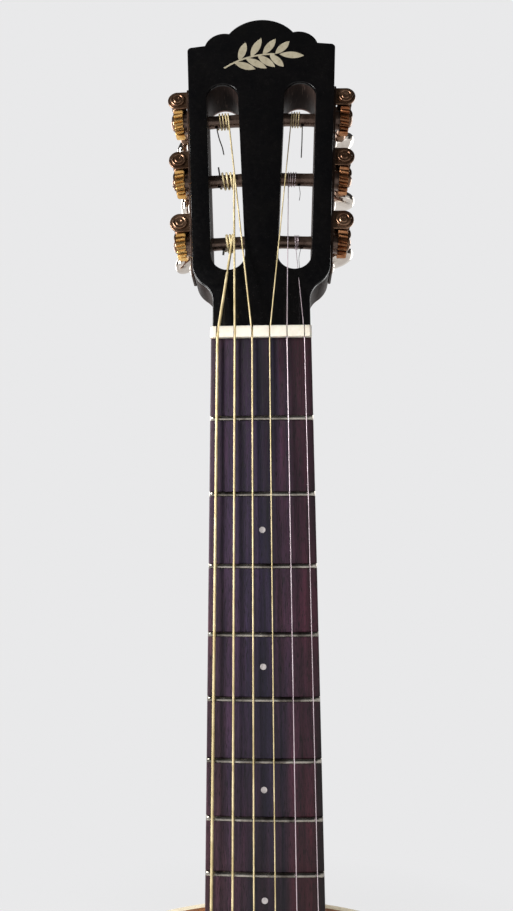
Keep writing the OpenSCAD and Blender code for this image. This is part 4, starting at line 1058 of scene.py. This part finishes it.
def post_shape(i):
    """String post about local z (out of the headstock): waisted in the slot, with its string hole."""
    t = POST1_T + POST_OF[i] * POST_PITCH
    wall = slot_x(t) + SLOT_R - head_hw(t)
    inner = -(head_hw(t) - slot_x(t) + SLOT_R) / math.cos(SIDE_ANGLE) - 6
    waist = POST_R - 0.1
    post = stepped([(inner, [(0, 0.02), (0, 2.5), (0.4, POST_R), (6.6, POST_R), (7.6, waist + 0.03),
                             (9, waist)]),
                    (wall, [(-3.4, waist), (-1.8, waist + 0.03), (-0.8, POST_R)]),
                    (PLATE_T, [(0.06, POST_R), (0.07, 4.2), (0.35, 4.5)]),
                    (GEAR_X[0], [(-0.1, 4.5), (-0.04, 4.3), (-0.03, 2.15)]),
                    (GEAR_X[1], [(-0.2, 2.15), (-0.2, 0.02)])], 48)
    hole = lathe([(-6, 0.95), (6, 0.95)], 24).at(shift(z=hole_x(i)) @ Z_TO_Y)
    return combined(post, hole).at(Z_TO_X)


for side, hand in ((-1, "bass"), (1, "treble")):
    piece("side_plate_" + hand, plate_shape(side), "tarnished_plate", nodes=["tuner_plate_" + hand])
    piece("plate_ears_" + hand, ears_shape(side), "aged_brass_plate")

PLATE_SCREW = screw_shape(2.7, 1.3, 9.2)
GEAR_SCREW = screw_shape(3.3, 2.1, 1.6, 0.8)
screws = [PLATE_SCREW.at(side_frame(side, 0) @ shift(PLATE_T + 0.04, POST_N, z) @ Z_TO_X
                         @ Matrix.Rotation(turn, 4, "Z"))
          for side in (-1, 1) for z, turn in ((-13, 0.5), (20.5, 1.9), (55.5, 1.2))]
piece("plate_screw_set", joined(screws), "nickel", nodes=["plate_screws"])

for i, name in enumerate(SIDE_NAMES):
    on_post = tuner_frame(i) @ shift(y=POST_N)
    on_worm = tuner_frame(i) @ shift(x=GEAR_MID, z=WORM_Z)
    on_gear = on_post @ shift(x=GEAR_X[1] + 0.02) @ Z_TO_X @ Matrix.Rotation(0.7 * i + 0.4, 4, "Z")
    turned = on_worm @ Matrix.Rotation(math.radians(KEY_TURN[i]), 4, "Y")
    post, key = "string_post_" + name, "tuner_key_" + name
    # The treble gears take the darker copy of the brass, which is painted shade
    brass = "gear_brass" if i < 3 else "gear_brass_shaded"
    piece(post, post_shape(i).at(on_post), "post_steel", post, ["post_" + name])
    piece("tuner_gear_" + name, gear_shape().at(on_post), brass, post, ["gear_" + name])
    piece("gear_screw_" + name, GEAR_SCREW.at(on_gear), "aged_brass_plate", post)
    piece("tuner_worm_" + name, worm_shape().at(on_worm), "aged_brass_plate", key, ["worm_" + name])
    piece("tuner_button_" + name, button_shape().at(turned), "nickel", key, ["button_" + name], crease=60)

# ---------- Body ----------


def body_outline(d=0.0, n=40):
    """The rim set in by d, as arcs of tail, lower bout, waist, upper bout and shoulders."""
    tail_c, top_c = np.array((0.0, TAIL_R)), np.array((0.0, BODY_LEN - TOP_R))
    low_x, up_x = LOWER_HW - LOWER_R, UPPER_HW - UPPER_R
    low_c = np.array((low_x, TAIL_R - math.sqrt((TAIL_R - LOWER_R) ** 2 - low_x ** 2)))
    up_c = np.array((up_x, top_c[1] + math.sqrt((TOP_R - UPPER_R) ** 2 - up_x ** 2)))
    # the waist circle touches both bouts, which fixes its height
    a, b = WAIST_HW - low_x, WAIST_HW - up_x
    ka, kb = 2 * (LOWER_R - a), 2 * (UPPER_R - b)
    qa, qb = kb - ka, -2 * (kb * low_c[1] - ka * up_c[1])
    qc = kb * (low_c[1] ** 2 + a * a - LOWER_R ** 2) - ka * (up_c[1] ** 2 + b * b - UPPER_R ** 2)
    waist_z = (-qb + math.sqrt(qb * qb - 4 * qa * qc)) / (2 * qa)
    waist_r = ((waist_z - low_c[1]) ** 2 + a * a - LOWER_R ** 2) / ka
    waist_c = np.array((WAIST_HW + waist_r, waist_z))
    tail_a, low_a = bearing(low_c - tail_c), bearing(waist_c - low_c)
    up_a, top_a = bearing(up_c - waist_c), bearing(up_c - top_c)
    return both_halves(
        arc(*tail_c, TAIL_R - d, -90, tail_a, n // 2)
        + arc(*low_c, LOWER_R - d, tail_a, low_a, n)
        + arc(*waist_c, waist_r + d, low_a + 180, up_a, n // 2)
        + arc(*up_c, UPPER_R - d, up_a - 180, top_a, n)
        + arc(*top_c, TOP_R - d, top_a, 90, n // 2))


BACK_TILT = (DEPTH_TAIL - DEPTH_NECK) / BODY_LEN


def back_y(x, z):
    arch = np.sqrt(BACK_R ** 2 - x * x) - BACK_R
    return FACE_Y + DEPTH_TAIL - z * BACK_TILT + arch * math.sqrt(1 + BACK_TILT ** 2)


def on_back(loop, lift):
    """A plan loop laid on the arched back, raised towards the front by lift."""
    return np.c_[loop[:, 0], back_y(loop[:, 0], loop[:, 1]) - lift, loop[:, 1]]


def hoop(outer, inner, lift_in, lift_out, ease):
    """Strip round the back's edge between two heights under the arch, its outer corner eased."""
    loops = [on_back(body_outline(outer + ease * (1 - math.sin(t))), lift_out + ease * (1 - math.cos(t)))
             for t in np.linspace(0, math.pi / 2, 6)]
    loops += [on_back(body_outline(d), lift)
              for d, lift in ((outer, lift_in), (inner, lift_in), (inner, lift_out))]
    return loft(loops, closed=True)


def sides_shape():
    front = [np.c_[loop[:, 0], np.full(len(loop), FACE_Y + BIND_H + 0.02), loop[:, 1]]
             for loop in (body_outline(SIDE_T), body_outline(0.0))]
    back = [on_back(body_outline(d), BIND_H + 0.02) for d in (0.0, SIDE_T)]
    return loft(front + back, closed=True)


def back_shape():
    """The arched back: two skins of rings shrinking to the middle."""
    rim = body_outline(SIDE_T + 0.02)
    centre = np.array((0.0, BODY_LEN * 0.52))
    shares = np.linspace(1, 0.02, 26)
    outside = [on_back(centre + (rim - centre) * s, 0) for s in reversed(shares)]
    inside = [on_back(centre + (rim - centre) * s, BACK_T) for s in shares]
    return loft(outside + inside)


top = slab([body_outline(SIDE_T + 0.02), circle_hole(0, HOLE_Z, HOLE_R, 96)], -TOP_T, 0,
           [(0.08, 0.05), (0.7, 0.5)])
piece("top_wood", top.at(PLAN), "spruce_top", nodes=["soundboard"])
piece("back_wood", back_shape(), "mahogany_body", nodes=["back_plate"])
piece("side_wood", sides_shape(), "mahogany_body", nodes=["sides"])
front_binding = slab([body_outline(0.0), body_outline(SIDE_T)[::-1]], -BIND_H, 0,
                     [(1.1, 0.1), (0.06, 0.06)], 5)
piece("edge_bindings", front_binding.at(PLAN) + hoop(0.0, SIDE_T, BIND_H, 0, 1.1), "cream_binding",
      nodes=["bindings"])
purfling = slab([body_outline(SIDE_T + 0.05), body_outline(SIDE_T + 0.95)[::-1]], -0.6, 0.03, 0.05, 1)
piece("top_purfling", purfling.at(PLAN), "black_plastic")

RINGS = [(5, 5.7, "black_plastic"), (5.7, 6.4, "cream_binding"), (6.4, 12.6, "rosette_inlay"),
         (12.6, 13.3, "cream_binding"), (13.3, 14, "black_plastic")]
for index, (inside, outside, finish) in enumerate(RINGS):
    broad = finish == "rosette_inlay"
    edge = tidy_loop(arc(0, HOLE_Z, HOLE_R + outside, 0, 360, 128))
    ring = slab([edge, circle_hole(0, HOLE_Z, HOLE_R + inside, 128)], -1, 0.02 if broad else 0.04, 0.05, 2)
    piece(f"rosette_ring_{index + 1}", ring.at(PLAN), finish, nodes=["rosette"] if broad else ())


def at_pins(shape):
    """The same shape at each bridge pin, its local z out of the bridge's face."""
    return joined([shape.at(shift(saddle_point(i)[0], FACE_Y - BRIDGE_H, PIN_Z) @ Z_TO_FRONT)
                   for i in range(6)])


pin = [(-BRIDGE_H - 12, 0.02), (-BRIDGE_H - 12, 2.0), (0, 2.45), (0.02, 3.4), (0.3, 3.7), (1.1, 3.65)]
pin += [(1.1 + 1.3 * math.sin(t), 3.65 * math.cos(t)) for t in np.linspace(0.15, math.pi / 2, 8)]
eye = [(1.9, 1.1), (2.42, 1.1), (2.5, 0.9), (2.52, 0.5), (2.52, 0.02)]
piece("bridge_pin_set", at_pins(lathe(pin, 36)), "black_plastic", nodes=["bridge_pins"])
piece("bridge_pin_eyes", at_pins(lathe(eye, 28)), "pearl_dots")

strap = [(0.02, 0.02), (0.02, 6.6), (0.3, 7), (1.2, 6.9), (2.4, 5.0), (3.6, 4.2), (5.6, 3.95), (7.5, 4.1),
         (8.9, 5.1), (9.8, 6.5), (10.5, 7), (12.4, 7), (13.2, 6.6), (13.9, 5.6), (14, 0.02)]
piece("end_pin", lathe(strap, 56).at(Matrix.Rotation(math.pi, 4, "X")), "black_plastic",
      nodes=["strap_button"])

# Plain parts, with the width in millimetres by which their edges are eased
EASED = {"bridge": 0.9, "saddle": 0.5, "heel_cap": 0.4, "headstock_inlay": 0.04, "neck_block": 0.5,
         "tail_block": 0.5, "x_braces": 0.8, "top_braces": 0.8, "back_braces": 0.6, "linings": 0.4,
         "bridge_plate": 0.4, "truss_rod": 0.2, "neck_bolts": 0.2, "truss_rod_nut": 0.2}
for node, width in EASED.items():
    part = frame["nodes"][node]
    part.modifiers.new("weld", "WELD").merge_threshold = 1e-6
    ease = part.modifiers.new("ease", "BEVEL")
    ease.width = width * MM
    ease.segments = 3
    ease.limit_method = "ANGLE"
    ease.angle_limit = math.radians(40)

# ---------- Studio ----------

BACKDROP = tone(233, 233, 234)


def stage_floor():
    reach, z = 6.0, cad_box[0].z
    corners = [(-reach, -reach, z), (reach, -reach, z), (reach, reach, z), (-reach, reach, z)]
    floor = bare_object("studio_floor", Shape(corners, [(0, 1, 2, 3)]))
    f = Finish("studio_floor_paint")
    paint = f.ramp(f.noise((3, 3, 3), 3, 0.5), (0.3, tone(226, 226, 226)), (0.7, tone(232, 232, 232)))
    glow = f.node("ShaderNodeEmission", {"Color": BACKDROP})
    distance = f.node("ShaderNodeVectorMath", {0: f.place}, operation="LENGTH").outputs["Value"]
    far = f.ramp(f.calc("MULTIPLY", distance, 0.5), (0.22, 0.0), (0.45, 1.0))
    blend = f.node("ShaderNodeMixShader", {0: far, 1: f.shader.outputs["BSDF"], 2: glow.outputs["Emission"]})
    f.feed(f.tree.nodes["Material Output"].inputs["Surface"], blend.outputs["Shader"])
    floor.data.materials.append(f.set(colour=paint, rough=0.8))


def stage_world():
    """Pale surroundings; what metal and gloss reflect is white behind and below, and dark in front."""
    world = bpy.data.worlds.new("studio")
    world.use_nodes = True
    n = Nodes(world.node_tree, "Generated")

    def rising(axis, start, end, value):
        """Goes from nothing to value as the direction's part along one axis goes from start to end."""
        step = n.node("ShaderNodeMapRange", {"Value": n.along(axis), "From Min": start, "From Max": end,
                                             "To Max": value}, interpolation_type="SMOOTHSTEP")
        return step.outputs["Result"]

    behind = n.calc("MULTIPLY", rising("Y", -0.15, 0.35, 0.8), rising("Z", 0.6, 0.1, 1.0))
    level = n.calc("MAXIMUM", behind, rising("Z", -0.15, -0.7, 0.3))
    lit = n.node("ShaderNodeBackground", {"Color": n.calc("ADD", level, 0.045)})
    seen = n.node("ShaderNodeBackground", {"Color": BACKDROP})
    camera_ray = n.node("ShaderNodeLightPath").outputs["Is Camera Ray"]
    blend = n.node("ShaderNodeMixShader", {0: camera_ray, 1: lit.outputs["Background"],
                                           2: seen.outputs["Background"]})
    n.feed(n.tree.nodes["World Output"].inputs["Surface"], blend.outputs["Shader"])
    scene.world = world


def softbox(name, place, size, power):
    """Rectangular light that faces the middle of the neck."""
    lamp = bpy.data.lights.new(name, "AREA")
    lamp.shape = "RECTANGLE"
    lamp.size, lamp.size_y = size
    lamp.energy = power
    obj = bpy.data.objects.new(name, lamp)
    scene.collection.objects.link(obj)
    obj.location = place
    obj.rotation_euler = (Vector((0, -0.05, 0.75)) - Vector(place)).to_track_quat("-Z", "Y").to_euler()


def main_camera():
    """Close in front of the neck, looking almost straight at the fretboard."""
    yaw, pitch, roll = -0.0336, -0.0241, -0.0066
    right, forward, up = (Matrix.Rotation(roll, 3, "Y") @ Matrix.Rotation(pitch, 3, "X")
                          @ Matrix.Rotation(yaw, 3, "Z"))
    lens = bpy.data.cameras.new("camera")
    lens.lens = 24.5
    lens.sensor_width = 36
    lens.clip_start = 0.01
    obj = bpy.data.objects.new("camera", lens)
    scene.collection.objects.link(obj)
    obj.matrix_world = axes(right, up, -forward, (0.0068, -0.32781, 0.735985))
    scene.camera = obj


stage_floor()
stage_world()
softbox("key", (-0.95, -0.75, 1.05), (0.42, 0.8), 30)
softbox("fill", (0.9, -1.1, 0.9), (1.0, 1.4), 2.5)
softbox("back_left", (-1.0, 0.9, 1.1), (0.8, 1.2), 12)
softbox("back_right", (1.0, 0.9, 1.1), (0.8, 1.2), 12)
scene.view_settings.view_transform = "Standard"
main_camera()
